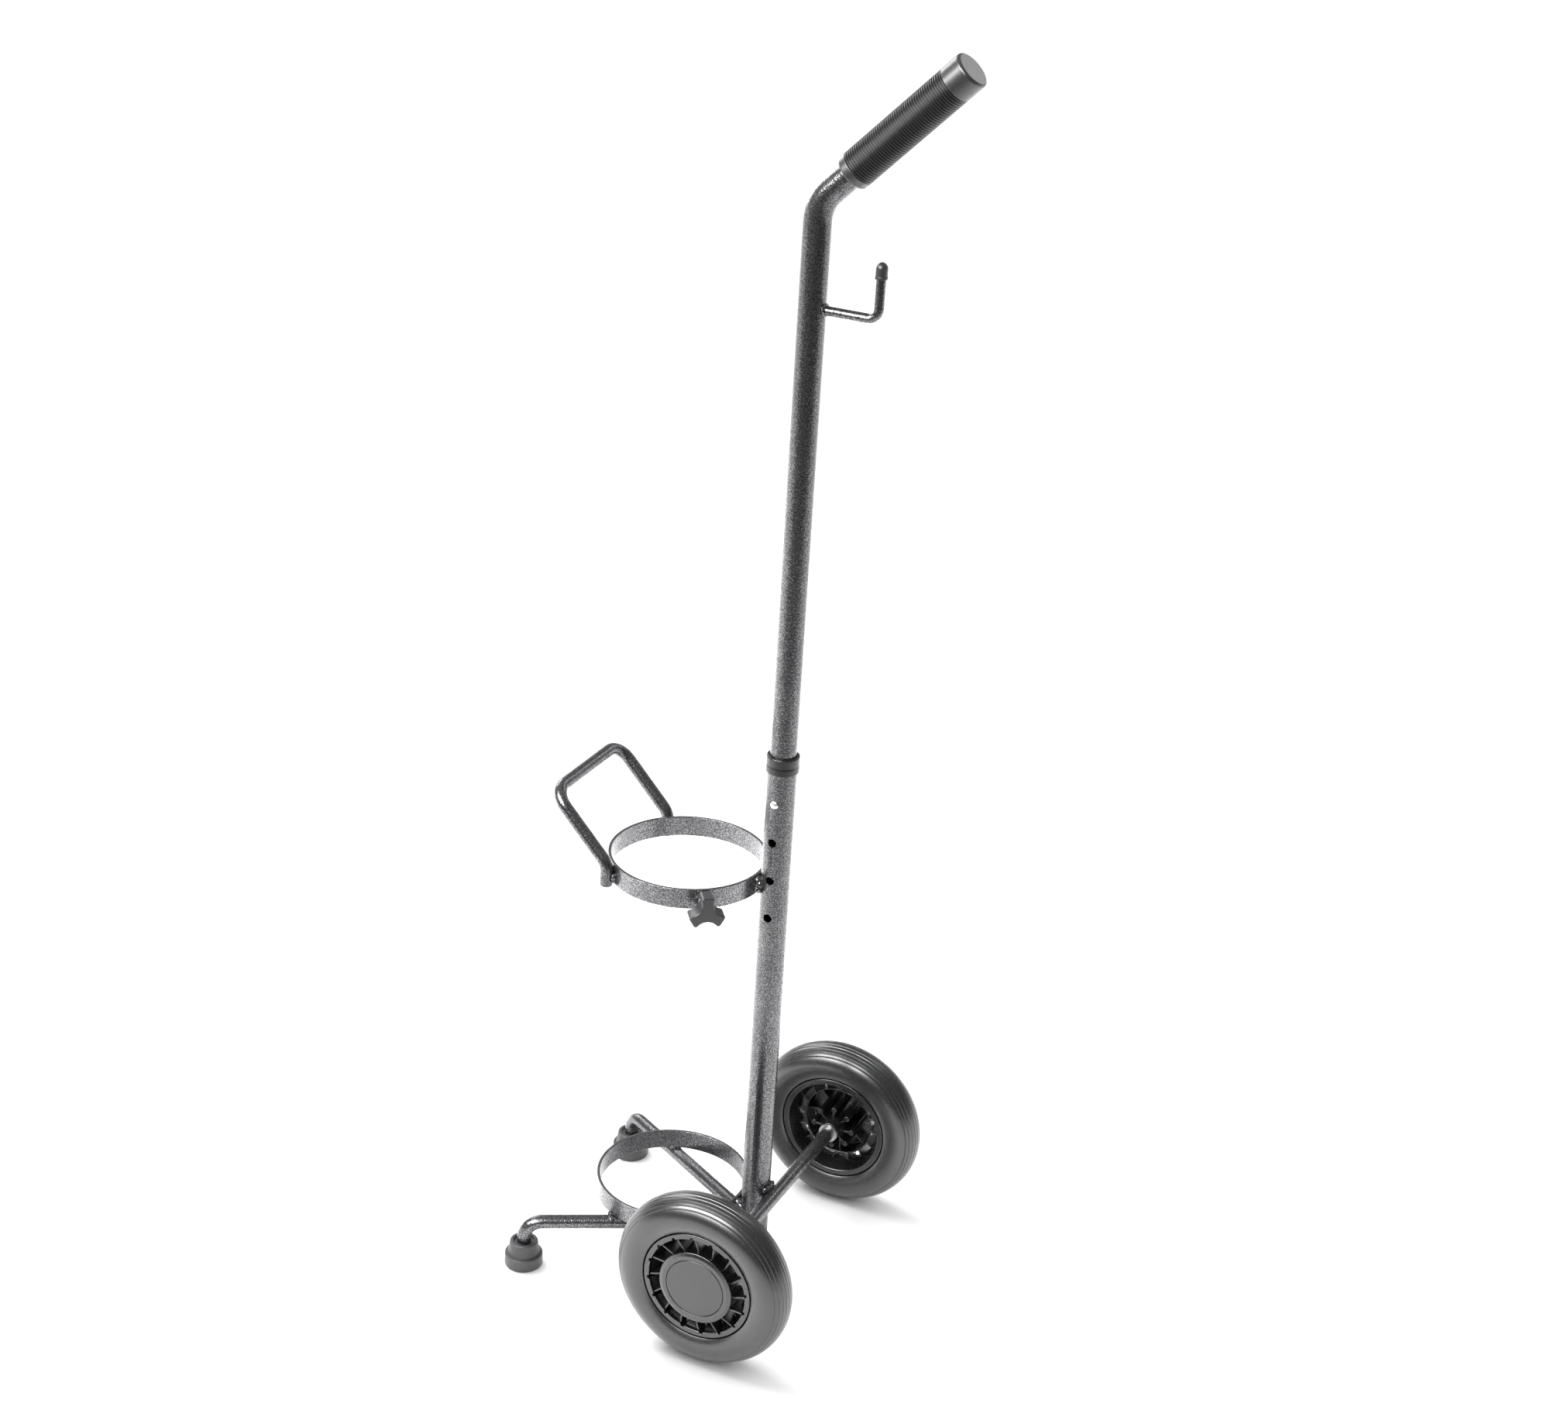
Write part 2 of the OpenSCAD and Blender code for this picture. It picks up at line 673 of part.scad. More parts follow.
module rim(side) {
    grey_plastic() at_wheel(side) difference() {
        union() {
            rim_barrel();
            rim_hub();
            rim_ribs();
        }
        for (i = [0 : slot_count - 1])
            rotate(i * 360 / slot_count + notch_turn)
                translate([slot_r - cut, -notch_w / 2, face_t - notch_t])
                    cube([notch_depth + cut, notch_w, notch_t + cut]);
    }
}

module hub_cap(side) {
    spigot_wall = disc_wall / 2;
    grey_plastic() at_wheel(side) rotate_extrude() polygon([
        [0, disc_face_t - cap_t], [pocket_r - spigot_wall, disc_face_t - cap_t],
        [pocket_r - spigot_wall, disc_back_t], [pocket_r, disc_back_t], [pocket_r, disc_face_t - cap_t],
        [cap_r, disc_face_t - cap_t], [cap_r, disc_face_t], [0, disc_face_t]
    ]);
}

module left_tyre() { tyre(1); }
module left_rim() { rim(1); }
module left_hub_cap() { hub_cap(1); }
module right_tyre() { tyre(-1); }
module right_rim() { rim(-1); }
module right_hub_cap() { hub_cap(-1); }

// Clamp screw, drawn along the hoop's radius
module clamp_nut() {
    painted() difference() {
        clamp_axis() cylinder(d = nut_af / cos(30), h = hoop_r + nut_h, $fn = 6);
        translate([0, hoop_y, upper_hoop_z - nut_af])
            cylinder(r = hoop_r, h = band_h + 2 * nut_af, $fn = hoop_fn);
        clamp_axis() cylinder(r = stud_r + stud_play, h = hoop_r + nut_h + cut);
    }
}

module clamp_tip() {
    grey_plastic() clamp_axis() translate([0, 0, stud_tip]) cylinder(r = stud_r, h = tip_l);
}

module clamp_stud() {
    bright_metal() clamp_axis() translate([0, 0, stud_tip + tip_l])
        cylinder(r = stud_r, h = knob_back + neck_l - stud_tip - tip_l);
}

module clamp_knob() {
    hollow_at = knob_waist_r + hollow_r;
    grey_plastic() clamp_axis() translate([0, 0, knob_back]) difference() {
        union() {
            cylinder(d = neck_d, h = neck_l + knob_t / 2);
            translate([0, 0, neck_l]) difference() {
                linear_extrude(height = knob_t) polygon([
                    for (i = [0 : 2], end = [1, -1])
                        [-knob_r * cos(i * 120) - end * lobe_w / 2 * sin(i * 120),
                         -knob_r * sin(i * 120) + end * lobe_w / 2 * cos(i * 120)]
                ]);
                for (i = [0 : 2])
                    rotate(i * 120) translate([hollow_at, 0, -cut])
                        cylinder(r = hollow_r, h = knob_t + 2 * cut);
            }
        }
        translate([0, 0, -cut]) cylinder(r = stud_r, h = neck_l + cut);
    }
}

// Upper mast, its grip and hook
function slant_point(run) = [0, mast_y + run * sin(grip_slant), bend_corner_z + run * cos(grip_slant)];

module upper_mast_run(r, past_ends) {
    bend_cut = tangent(grip_slant, mast_bend_r);
    translate([0, mast_y, upper_tube_foot_z - past_ends]) rod_run([
        [bend_corner_z - upper_tube_foot_z - bend_cut + past_ends, 90, grip_slant, mast_bend_r],
        [grip_end - grip_end_wall - bend_cut + past_ends]
    ], r);
}

module upper_mast() {
    painted() difference() {
        upper_mast_run(upper_r, 0);
        upper_mast_run(upper_bore_r, cut);
        translate([0, mast_y, top_hole_z]) rotate([0, 90, 0])
            cylinder(r = button_r + button_play, h = upper_r + cut);
    }
}

module hand_grip() {
    r = grip_d / 2;
    grey_rubber() translate(slant_point(grip_start)) rotate([-grip_slant, 0, 0]) difference() {
        rotate_extrude() difference() {
            union() {
                square([r, grip_l - grip_edge]);
                square([r - grip_edge, grip_l]);
                translate([r - grip_edge, grip_l - grip_edge]) circle(r = grip_edge);
            }
            for (i = [0 : grip_ribs - 1])
                translate([r - grip_rib_depth, grip_flange_l + (i + 0.5) * grip_rib_pitch])
                    square([grip_rib_depth + cut, grip_rib_pitch / 2]);
        }
        translate([0, 0, -cut]) cylinder(r = upper_r, h = grip_l - grip_end_wall + cut);
    }
}

module hook_rod() {
    translate([0, mast_y, hook_z]) rotate([-90, 0, 0]) rod_run([
        [hook_behind - hook_bend_r, -90, 90, hook_bend_r],
        [hook_rise - hook_bend_r]
    ], hook_rod_d / 2);
}

module upper_mast_solid() {
    translate([0, mast_y, upper_tube_foot_z]) cylinder(r = upper_r, h = bend_corner_z - upper_tube_foot_z);
}

module bag_hook() {
    painted() difference() {
        hook_rod();
        upper_mast_solid();
    }
}

module hook_weld() {
    ring_r = hook_rod_d / 2 + hook_bead_r / 2;
    painted() difference() {
        translate([0, mast_y + upper_r, hook_z]) rotate([-90, 0, 0]) rotate_extrude()
            translate([ring_r, 0]) circle(r = hook_bead_r);
        upper_mast_solid();
        hook_rod();
    }
}

module hook_cap() {
    r = hook_cap_d / 2;
    black_plastic() translate([0, mast_y + hook_behind, hook_z + hook_rise - hook_cap_l]) difference() {
        union() {
            cylinder(r = r, h = hook_cap_l);
            translate([0, 0, hook_cap_l]) sphere(r = r);
        }
        translate([0, 0, -cut]) cylinder(d = hook_rod_d, h = hook_cap_l + cut);
    }
}

// Snap button and its spring
module snap_button() {
    dome_r = (pow(button_r, 2) + pow(button_dome, 2)) / (2 * button_dome);
    bright_metal() translate([0, mast_y, top_hole_z]) rotate([0, 90, 0]) {
        translate([0, 0, button_back_x]) cylinder(r = button_flange_r, h = button_flange_t);
        translate([0, 0, button_face_x]) cylinder(r = button_r, h = lower_r - button_face_x);
        intersection() {
            translate([0, 0, lower_r + button_dome - dome_r]) sphere(r = dome_r);
            translate([0, 0, lower_r]) cylinder(r = button_r, h = button_dome);
        }
    }
}

module snap_spring() {
    // The strip's edges reach the bore's chord of its own width
    wall_x = sqrt(pow(upper_bore_r, 2) - pow(spring_w / 2, 2)) - slide_play;
    end = button_flange_r;
    bright_metal() translate([0, mast_y + spring_w / 2, top_hole_z]) rotate([90, 0, 0])
        linear_extrude(height = spring_w) polygon([
            [button_back_x, -end], [button_back_x, end], [spring_t, spring_rise], [-spring_t, spring_rise],
            [-wall_x, end], [-wall_x, -end], [spring_t - wall_x, -end], [spring_t - wall_x, end],
            [0, spring_rise - 2 * spring_t], [button_back_x - spring_t, end],
            [button_back_x - spring_t, -end]
        ]);
}

lower_mast();
mast_collar();
mast_plug();
upper_hoop();
lower_hoop();
carrying_handle();
left_leg();
right_leg();
left_foot();
right_foot();
axle();
left_washer();
right_washer();
left_clip();
right_clip();
clamp_nut();
hoop_welds();
leg_welds();
axle_welds();
handle_welds();
upper_mast();
hand_grip();
bag_hook();
hook_cap();
hook_weld();
snap_spring();
snap_button();
left_tyre();
left_rim();
left_hub_cap();
right_tyre();
right_rim();
right_hub_cap();
clamp_tip();
clamp_stud();
clamp_knob();
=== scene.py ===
"""Looks of a trolley for one gas cylinder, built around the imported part. Lengths are in metres."""
import math

import bmesh
import bpy
from mathutils import Matrix, Vector, noise


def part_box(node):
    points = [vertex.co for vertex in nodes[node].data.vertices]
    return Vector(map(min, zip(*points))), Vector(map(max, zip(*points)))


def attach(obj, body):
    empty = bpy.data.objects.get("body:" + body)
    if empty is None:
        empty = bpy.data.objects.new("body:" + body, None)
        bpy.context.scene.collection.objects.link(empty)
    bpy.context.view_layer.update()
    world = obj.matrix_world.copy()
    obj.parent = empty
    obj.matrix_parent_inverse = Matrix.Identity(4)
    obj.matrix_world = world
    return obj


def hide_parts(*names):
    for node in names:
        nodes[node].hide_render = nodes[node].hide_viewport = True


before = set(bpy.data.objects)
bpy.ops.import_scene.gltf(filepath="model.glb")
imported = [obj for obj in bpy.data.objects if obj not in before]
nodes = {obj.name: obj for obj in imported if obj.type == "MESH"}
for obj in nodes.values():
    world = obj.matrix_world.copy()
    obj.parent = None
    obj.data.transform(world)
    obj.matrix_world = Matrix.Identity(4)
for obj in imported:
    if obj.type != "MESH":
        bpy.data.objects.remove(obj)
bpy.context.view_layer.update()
MM = 0.001

# Places and sizes that the frame gives


def middle(node):
    low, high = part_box(node)
    return (low + high) / 2


def size(node):
    low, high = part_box(node)
    return high - low


mast_y = middle("lower_mast").y
mast_r = size("lower_mast").x / 2
upper_r = size("upper_mast").x / 2
wheel_r = size("left_tyre").z / 2
tyre_w = size("left_tyre").x
axle_y, axle_z = middle("left_tyre").yz
wheel_x = middle("left_tyre").x
hoop_y = middle("lower_hoop").y
hoop_r = size("lower_hoop").x / 2
band_h = size("lower_hoop").z
lower_hoop_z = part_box("lower_hoop")[0].z
upper_hoop_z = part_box("upper_hoop")[0].z
collar_low, collar_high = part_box("mast_collar")
foot_h = size("left_foot").z
foot_base_r = size("left_foot").x / 2
cap_r = size("left_hub_cap").z / 2
cap_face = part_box("left_hub_cap")[1].x - wheel_x
button_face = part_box("snap_button")[1].x
button_z = middle("snap_button").z
hook_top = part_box("hook_cap")[1].z
hook_y = middle("hook_cap").y
hook_cap_r = size("hook_cap").x / 2

# Sizes that the part's source gives: the hand grip
GRIP_CORNER = Vector((0, mast_y, 1089 * MM))
GRIP_SLANT = math.radians(45)
GRIP_START = 41 * MM
GRIP_R = 17 * MM
GRIP_FLANGE_L = 8 * MM
GRIP_RIBS = 45
GRIP_RIB_PITCH = 2.5 * MM
GRIP_RIB_DEPTH = 0.9 * MM
GRIP_END_L = 21 * MM
GRIP_END_WALL = 5 * MM
GRIP_EDGE = 2.7 * MM
# The wheels; lengths along the axle are from a wheel's middle plane
RIM_R = 56 * MM
SEAT_R = 53 * MM
FACE_T = 17.5 * MM
FLANGE_T = 3 * MM
SLOT_R = 50.5 * MM
FACE_RING_T = 4.5 * MM
SLOTS = 16
SLOT_RIB_SLANT = math.radians(18)
NOTCH_W = 3.2 * MM
NOTCH_TURN = math.radians(8)
NOTCH_DEPTH = 2.2 * MM
DISC_R = 38 * MM
DISC_WALL = 3 * MM
DISC_FACE_T = 21.5 * MM
DISC_BEVEL = 3.6 * MM
DISC_SKIRT_IN = 3 * MM
CAP_T = 3 * MM
CAP_GAP = 0.4 * MM
DISC_BACK = DISC_FACE_T - CAP_T - DISC_WALL
HUB_R = 10 * MM
HUB_BORE_R = 6.05 * MM
HUB_INNER = 27 * MM
HUB_TAPER_AT = 15 * MM
HUB_OUTER = 9 * MM
POCKET_R = 10.5 * MM
WEBS = 8
WEB_H = 8 * MM
BOSS_RING_R = 21 * MM
BOSS_R = 3 * MM
SEAM_DEPTH = 3 * MM
TREAD_GROOVES = 10
TREAD_STEP = math.radians(11.5)
TREAD_GROOVE_DEPTH = 0.6 * MM
# The legs and feet
LEG_R = 7 * MM
FOOT_BASE_H = 13 * MM
FOOT_CONE_R = 16 * MM
FOOT_DISH = 2 * MM
FOOT_FLOOR = 6 * MM
# The clamp screw
HOOP_INNER_R = 74 * MM
CLAMP_ANGLE = math.radians(37)
STUD_R = 4 * MM
TIP_SET_BACK = 0.3 * MM
TIP_L = 4 * MM
KNOB_STANDOFF = 12 * MM
KNOB_T = 16 * MM
KNOB_R = 17 * MM
# The collar, the button, the hook and the carrying handle
SLIDE_PLAY = 0.08 * MM
COLLAR_LIP = 3 * MM
BUTTON_R = 4 * MM
BUTTON_FLANGE_T = 1.2 * MM
BUTTON_DOME = 1.8 * MM
HOOK_ROD_R = 4.25 * MM
HANDLE_ROD_R = 6.25 * MM
HANDLE_ANGLE = math.radians(49)

# Sizes set for the looks, where the photograph shows other or finer forms than the source
WAIST_R = 44 * MM
WAIST_W = 7 * MM
CONE_STEP = 1.5 * MM
CONE_START = 5.7 * MM
SLOT_RIB_T = 1.8 * MM
SLOT_RIB_RECESS = 1.5 * MM
SLOT_RIB_DEPTH = 20.5 * MM
NOTCH_START = 5 * MM
NOTCH_BAND = 1 * MM
DISC_BEVEL_T = 1.3 * MM
WEB_T = 2 * MM
RIB_EDGE = 0.4 * MM
TREAD_GROOVE_HALF_W = 1.5 * TREAD_GROOVE_DEPTH
TREAD_NEAR_GROOVE = 1.6
TREAD_FINE_STEP = math.radians(0.5)
TREAD_COARSE_STEP = math.radians(1.6)
SEAM_W = 1.2 * MM
FOOT_TOP_R = 13.9 * MM
FOOT_RIM = 3.8 * MM
KNOB_NECK_L = 3 * MM
KNOB_NECK_R = 7 * MM
KNOB_WAIST_R = 8 * MM
KNOB_HOLLOW_R = 11.5 * MM
KNOB_CORNER_R = 2.6 * MM
KNOB_EDGE = 1.3 * MM
THREAD_PITCH = 1.25 * MM
THREAD_DEPTH = 0.75 * MM
THREAD_FLANK = 2.4
COLLAR_STEP = 0.3 * MM
COLLAR_DRAFT = 0.1 * MM
CAP_LIP_H = 2.2 * MM
CAP_LIP_END = 2.6 * MM
CAP_LIP_STEP = 0.35 * MM
BAND_EDGE = 0.5 * MM

# Camera, worked out from the outlines of the mast, the axle and the hoops in the photograph
CAMERA_AZIMUTH = math.radians(113.842)
CAMERA_ELEVATION = math.radians(24.13)
CAMERA_ROLL = math.radians(3.626)
CAMERA_PLACE = Vector((2.0401, 0.9384, 1.6195))
CAMERA_LENS_MM = 61.0
CAMERA_SENSOR_MM = 36.0


def add_camera():
    a, e = CAMERA_AZIMUTH, CAMERA_ELEVATION
    level = Vector((math.cos(a), math.sin(a), 0))
    ahead = Vector((-math.sin(a) * math.cos(e), math.cos(a) * math.cos(e), -math.sin(e)))
    raised = level.cross(ahead)
    c, s = math.cos(CAMERA_ROLL), math.sin(CAMERA_ROLL)
    right = c * level + s * raised
    up = c * raised - s * level
    data = bpy.data.cameras.new("camera")
    data.sensor_width = CAMERA_SENSOR_MM
    data.lens = CAMERA_LENS_MM
    camera = bpy.data.objects.new("camera", data)
    turn = Matrix((right, up, -ahead)).transposed().to_4x4()
    camera.matrix_world = Matrix.Translation(CAMERA_PLACE) @ turn
    bpy.context.scene.collection.objects.link(camera)
    bpy.context.scene.camera = camera


add_camera()

# Materials


def add(tree, kind, inputs=None, **settings):
    """A shader node; inputs gives each named socket a value or another node's output."""
    made = tree.nodes.new("ShaderNode" + kind)
    for key, value in settings.items():
        setattr(made, key, value)
    for key, value in (inputs or {}).items():
        if isinstance(value, bpy.types.NodeSocket):
            tree.links.new(value, made.inputs[key])
        else:
            made.inputs[key].default_value = value
    return made


def new_material(name, **sockets):
    """A material with a Principled shader whose constant sockets are set directly."""
    material = bpy.data.materials.new(name)
    material.use_nodes = True
    tree = material.node_tree
    shader = tree.nodes["Principled BSDF"]
    for key, value in sockets.items():
        shader.inputs[key.replace("_", " ")].default_value = value
    place = add(tree, "TexCoord").outputs["Object"]
    return material, tree, shader, place


def grain(tree, place, scale, detail=3.0, roughness=0.6):
    inputs = {"Vector": place, "Scale": scale, "Detail": detail, "Roughness": roughness}
    return add(tree, "TexNoise", inputs).outputs[0]


def spread(tree, value, low, high, start=0.3, end=0.7):
    """Maps a texture's value from start..end to low..high."""
    inputs = {"Value": value, "From Min": start, "From Max": end, "To Min": low, "To Max": high}
    return add(tree, "MapRange", inputs).outputs[0]


def shades(tree, value, *stops):
    """A colour ramp through (position, colour) stops."""
    ramp = add(tree, "ValToRGB", {"Fac": value})
    elements = ramp.color_ramp.elements
    while len(elements) < len(stops):
        elements.new(0.5)
    for element, (position, colour) in zip(elements, stops):
        element.position = position
        element.color = (*colour, 1)
    return ramp.outputs["Color"]


def relief(tree, shader, height, distance, strength=1.0):
    bump = add(tree, "Bump", {"Height": height, "Distance": distance, "Strength": strength})
    tree.links.new(bump.outputs["Normal"], shader.inputs["Normal"])


def multiplied(tree, a, b):
    """The product of two colours."""
    return add(tree, "Mix", {0: 1.0, 6: a, 7: b}, data_type="RGBA", blend_type="MULTIPLY").outputs[2]


# Textures: scales count grains to a metre
FLECK_SCALE = 850
FLECK_GREYS = ((0.36, 0.036), (0.5, 0.1), (0.66, 0.24))
FLECK_BLUE = 1.03
DRIFT_SCALE = 25
DIMPLE_SCALE = 620
DIMPLE_DEPTH = 0.3 * MM
PLASTIC_CLOUD_SCALE = 45
PLASTIC_GLOSS_SPREAD = 0.07
METAL_CLOUD_SCALE = 220
METAL_CLOUD_DARKER = 0.85
TURNING_MARK_SCALE = 1500
TURNING_MARK_DEPTH = 0.01 * MM


def hammertone(name, gain):
    """Grey paint that dries in silver flecks and shallow dimples about a millimetre across."""
    material, tree, shader, place = new_material(
        name, Metallic=0.82, Coat_Weight=0.15, Coat_Roughness=0.15)
    flecks = grain(tree, place, FLECK_SCALE, 3.0, 0.55)
    stops = [(at, (gain * grey, gain * grey, FLECK_BLUE * gain * grey)) for at, grey in FLECK_GREYS]
    colour = shades(tree, flecks, *stops)
    cloud = grain(tree, place, DRIFT_SCALE, 2.0)
    drift = shades(tree, cloud, (0.3, (0.82, 0.82, 0.83)), (0.7, (1.0, 1.0, 1.0)))
    tree.links.new(multiplied(tree, colour, drift), shader.inputs["Base Color"])
    tree.links.new(spread(tree, flecks, 0.32, 0.2), shader.inputs["Roughness"])
    cells = add(tree, "TexVoronoi", {"Vector": place, "Scale": DIMPLE_SCALE}, feature="SMOOTH_F1")
    relief(tree, shader, cells.outputs["Distance"], DIMPLE_DEPTH, 0.6)
    return material


def moulded(name, dark, light, roughness, grain_scale, depth, **sockets):
    """A moulded plastic or rubber with a fine grain and slightly uneven gloss."""
    material, tree, shader, place = new_material(name, **sockets)
    cloud = grain(tree, place, PLASTIC_CLOUD_SCALE, 4.0)
    tree.links.new(shades(tree, cloud, (0.3, dark), (0.7, light)), shader.inputs["Base Color"])
    fine = grain(tree, place, grain_scale, 3.0)
    low, high = roughness - PLASTIC_GLOSS_SPREAD, roughness + PLASTIC_GLOSS_SPREAD
    tree.links.new(spread(tree, fine, low, high), shader.inputs["Roughness"])
    relief(tree, shader, fine, depth)
    return material


def metal(name, colour, roughness, scratch):
    """A bright metal with fine turning marks in its gloss."""
    material, tree, shader, place = new_material(name, Metallic=1.0)
    cloud = grain(tree, place, METAL_CLOUD_SCALE, 3.0)
    darker = tuple(METAL_CLOUD_DARKER * c for c in colour)
    tree.links.new(shades(tree, cloud, (0.35, darker), (0.65, colour)), shader.inputs["Base Color"])
    fine = grain(tree, place, TURNING_MARK_SCALE, 2.0)
    tree.links.new(spread(tree, fine, roughness, roughness + scratch), shader.inputs["Roughness"])
    relief(tree, shader, fine, TURNING_MARK_DEPTH)
    return material


paint = hammertone("hammertone_paint", 1.0)
# Painted light: the frame's own paint, made 1.42 times lighter on the hoop bands
lit_band_paint = hammertone("hammertone_bands_lit", 1.42)
tyre_rubber = moulded("tyre_rubber", (0.008, 0.008, 0.009), (0.013, 0.013, 0.0145),
                      0.29, 1600, 0.006 * MM, Specular_IOR_Level=0.85)
rim_plastic = moulded("rim_plastic", (0.004, 0.004, 0.0045), (0.007, 0.007, 0.008),
                      0.25, 1300, 0.006 * MM, Specular_IOR_Level=0.85)
# Painted shade: the rim's own moulding, darker and less glossy for the ribs and webs down in the slots
# and the dish
shaded_rib_plastic = moulded("shaded_rib_plastic", (0.003, 0.003, 0.0035), (0.006, 0.006, 0.0065),
                      0.33, 1300, 0.006 * MM, Specular_IOR_Level=0.75)
cap_plastic = moulded("cap_plastic", (0.01, 0.01, 0.011), (0.015, 0.015, 0.016),
                      0.33, 1300, 0.006 * MM, Specular_IOR_Level=0.75)
black_plastic = moulded("black_plastic", (0.008, 0.008, 0.009), (0.014, 0.014, 0.015),
                        0.28, 1300, 0.02 * MM)
grip_rubber = moulded("grip_rubber", (0.008, 0.008, 0.009), (0.013, 0.013, 0.0145),
                      0.32, 1500, 0.008 * MM, Specular_IOR_Level=0.28)
# Painted light: the same rubber as the ribbed sleeve, made about three times lighter and glossier for the
# plain flange and closed end
grip_rubber_lit_copy = moulded("grip_rubber_lit_copy", (0.028, 0.028, 0.03), (0.038, 0.038, 0.041),
                     0.32, 1500, 0.008 * MM, Specular_IOR_Level=0.7)
foot_rubber = moulded("foot_rubber", (0.035, 0.035, 0.037), (0.05, 0.05, 0.053),
                      0.5, 1200, 0.03 * MM)
knob_plastic = moulded("knob_plastic", (0.03, 0.03, 0.032), (0.04, 0.04, 0.043),
                       0.36, 1200, 0.03 * MM)
zinc = metal("zinc_plate", (0.78, 0.77, 0.75), 0.22, 0.15)
chrome = metal("button_chrome", (0.85, 0.85, 0.86), 0.24, 0.1)

# Meshes


def rounded(corners, closed=True, steps=5):
    """Points of an outline whose corners (a, b, radius) are turned into arcs of that radius."""
    points = []
    count = len(corners)
    for i, (a, b, radius) in enumerate(corners):
        here = Vector((a, b))
        if radius <= 0 or (not closed and i in (0, count - 1)):
            points.append(here)
            continue
        before = Vector(corners[i - 1][:2]) - here
        after = Vector(corners[(i + 1) % count][:2]) - here
        turn = before.angle(after)
        reach = min(radius / math.tan(turn / 2), 0.49 * before.length, 0.49 * after.length)
        radius = reach * math.tan(turn / 2)
        inward = (before.normalized() + after.normalized()).normalized()
        centre = here + inward * radius / math.sin(turn / 2)
        start = here + before.normalized() * reach - centre
        end = here + after.normalized() * reach - centre
        swept = start.angle_signed(end)
        for step in range(steps + 1):
            arm = start.copy()
            arm.rotate(Matrix.Rotation(-swept * step / steps, 2))
            points.append(centre + arm)
    return points


def along(origin, direction):
    """A frame whose Z runs along direction from origin."""
    turn = Vector(direction).to_track_quat("Z", "Y").to_matrix().to_4x4()
    return Matrix.Translation(origin) @ turn


def revolve(mesh, profile, at, segments=96, closed=True, shape=None):
    """Turns profile points (radius, along) about the Z axis of at; shape may bend each point."""
    rings = []
    for radius, run in profile:
        if radius < 1e-7:
            rings.append([mesh.verts.new(at @ Vector((0, 0, run)))])
            continue
        ring = []
        for k in range(segments):
            turn = 2 * math.pi * k / segments
            r, z = shape(turn, radius, run) if shape else (radius, run)
            ring.append(mesh.verts.new(at @ Vector((r * math.cos(turn), r * math.sin(turn), z))))
        rings.append(ring)
    pairs = list(zip(rings, rings[1:]))
    if closed:
        pairs.append((rings[-1], rings[0]))
    for low, high in pairs:
        if len(low) == 1 and len(high) == 1:
            continue
        for k in range(segments):
            n = (k + 1) % segments
            if len(low) == 1:
                mesh.faces.new((low[0], high[n], high[k]))
            elif len(high) == 1:
                mesh.faces.new((low[k], low[n], high[0]))
            else:
                mesh.faces.new((low[k], low[n], high[n], high[k]))


def slab(mesh, low, high, at, edge):
    """A box between two corners in the frame of at, with rounded edges."""
    low, high = Vector(low), Vector(high)
    place = at @ Matrix.Translation((low + high) / 2) @ Matrix.Diagonal((*(high - low), 1))
    made = bmesh.ops.create_cube(mesh, size=1, matrix=place)
    edges = list({e for v in made["verts"] for e in v.link_edges})
    bmesh.ops.bevel(mesh, geom=edges, offset=edge, segments=2, profile=0.5, affect="EDGES",
                    clamp_overlap=True)


def sweep(mesh, path, radius, segments=20):
    """A closed tube along path; radius(i, turn) gives its radius, and its two ends are closed."""
    rings = []
    for i, point in enumerate(path):
        tangent = (path[min(i + 1, len(path) - 1)] - path[max(i - 1, 0)]).normalized()
        at = along(point, tangent)
        rings.append([
            mesh.verts.new(at @ Vector((radius(i, t) * math.cos(t), radius(i, t) * math.sin(t), 0)))
            for t in (2 * math.pi * k / segments for k in range(segments))
        ])
    for low, high in zip(rings, rings[1:]):
        for k in range(segments):
            n = (k + 1) % segments
            mesh.faces.new((low[k], low[n], high[n], high[k]))
    mesh.faces.new(rings[0])
    mesh.faces.new(rings[-1])


def piece(name, mesh, material, body, slot, *replaced):
    """Finishes a mesh as a smooth piece that rides on a body and stands for CAD nodes."""
    bmesh.ops.recalc_face_normals(mesh, faces=mesh.faces)
    data = bpy.data.meshes.new(name)
    mesh.to_mesh(data)
    mesh.free()
    data.materials.append(material)
    data.shade_smooth()
    made = bpy.data.objects.new(name, data)
    bpy.context.scene.collection.objects.link(made)
    made.modifiers.new("normals", "WEIGHTED_NORMAL").keep_sharp = True
    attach(made, body)
    if replaced:
        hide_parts(*replaced)


def turned(name, profile, at, material, body, slot, *replaced, **options):
    """A piece made by one revolve."""
    mesh = bmesh.new()
    revolve(mesh, profile, at, **options)
    piece(name, mesh, material, body, slot, *replaced)


# Wheels


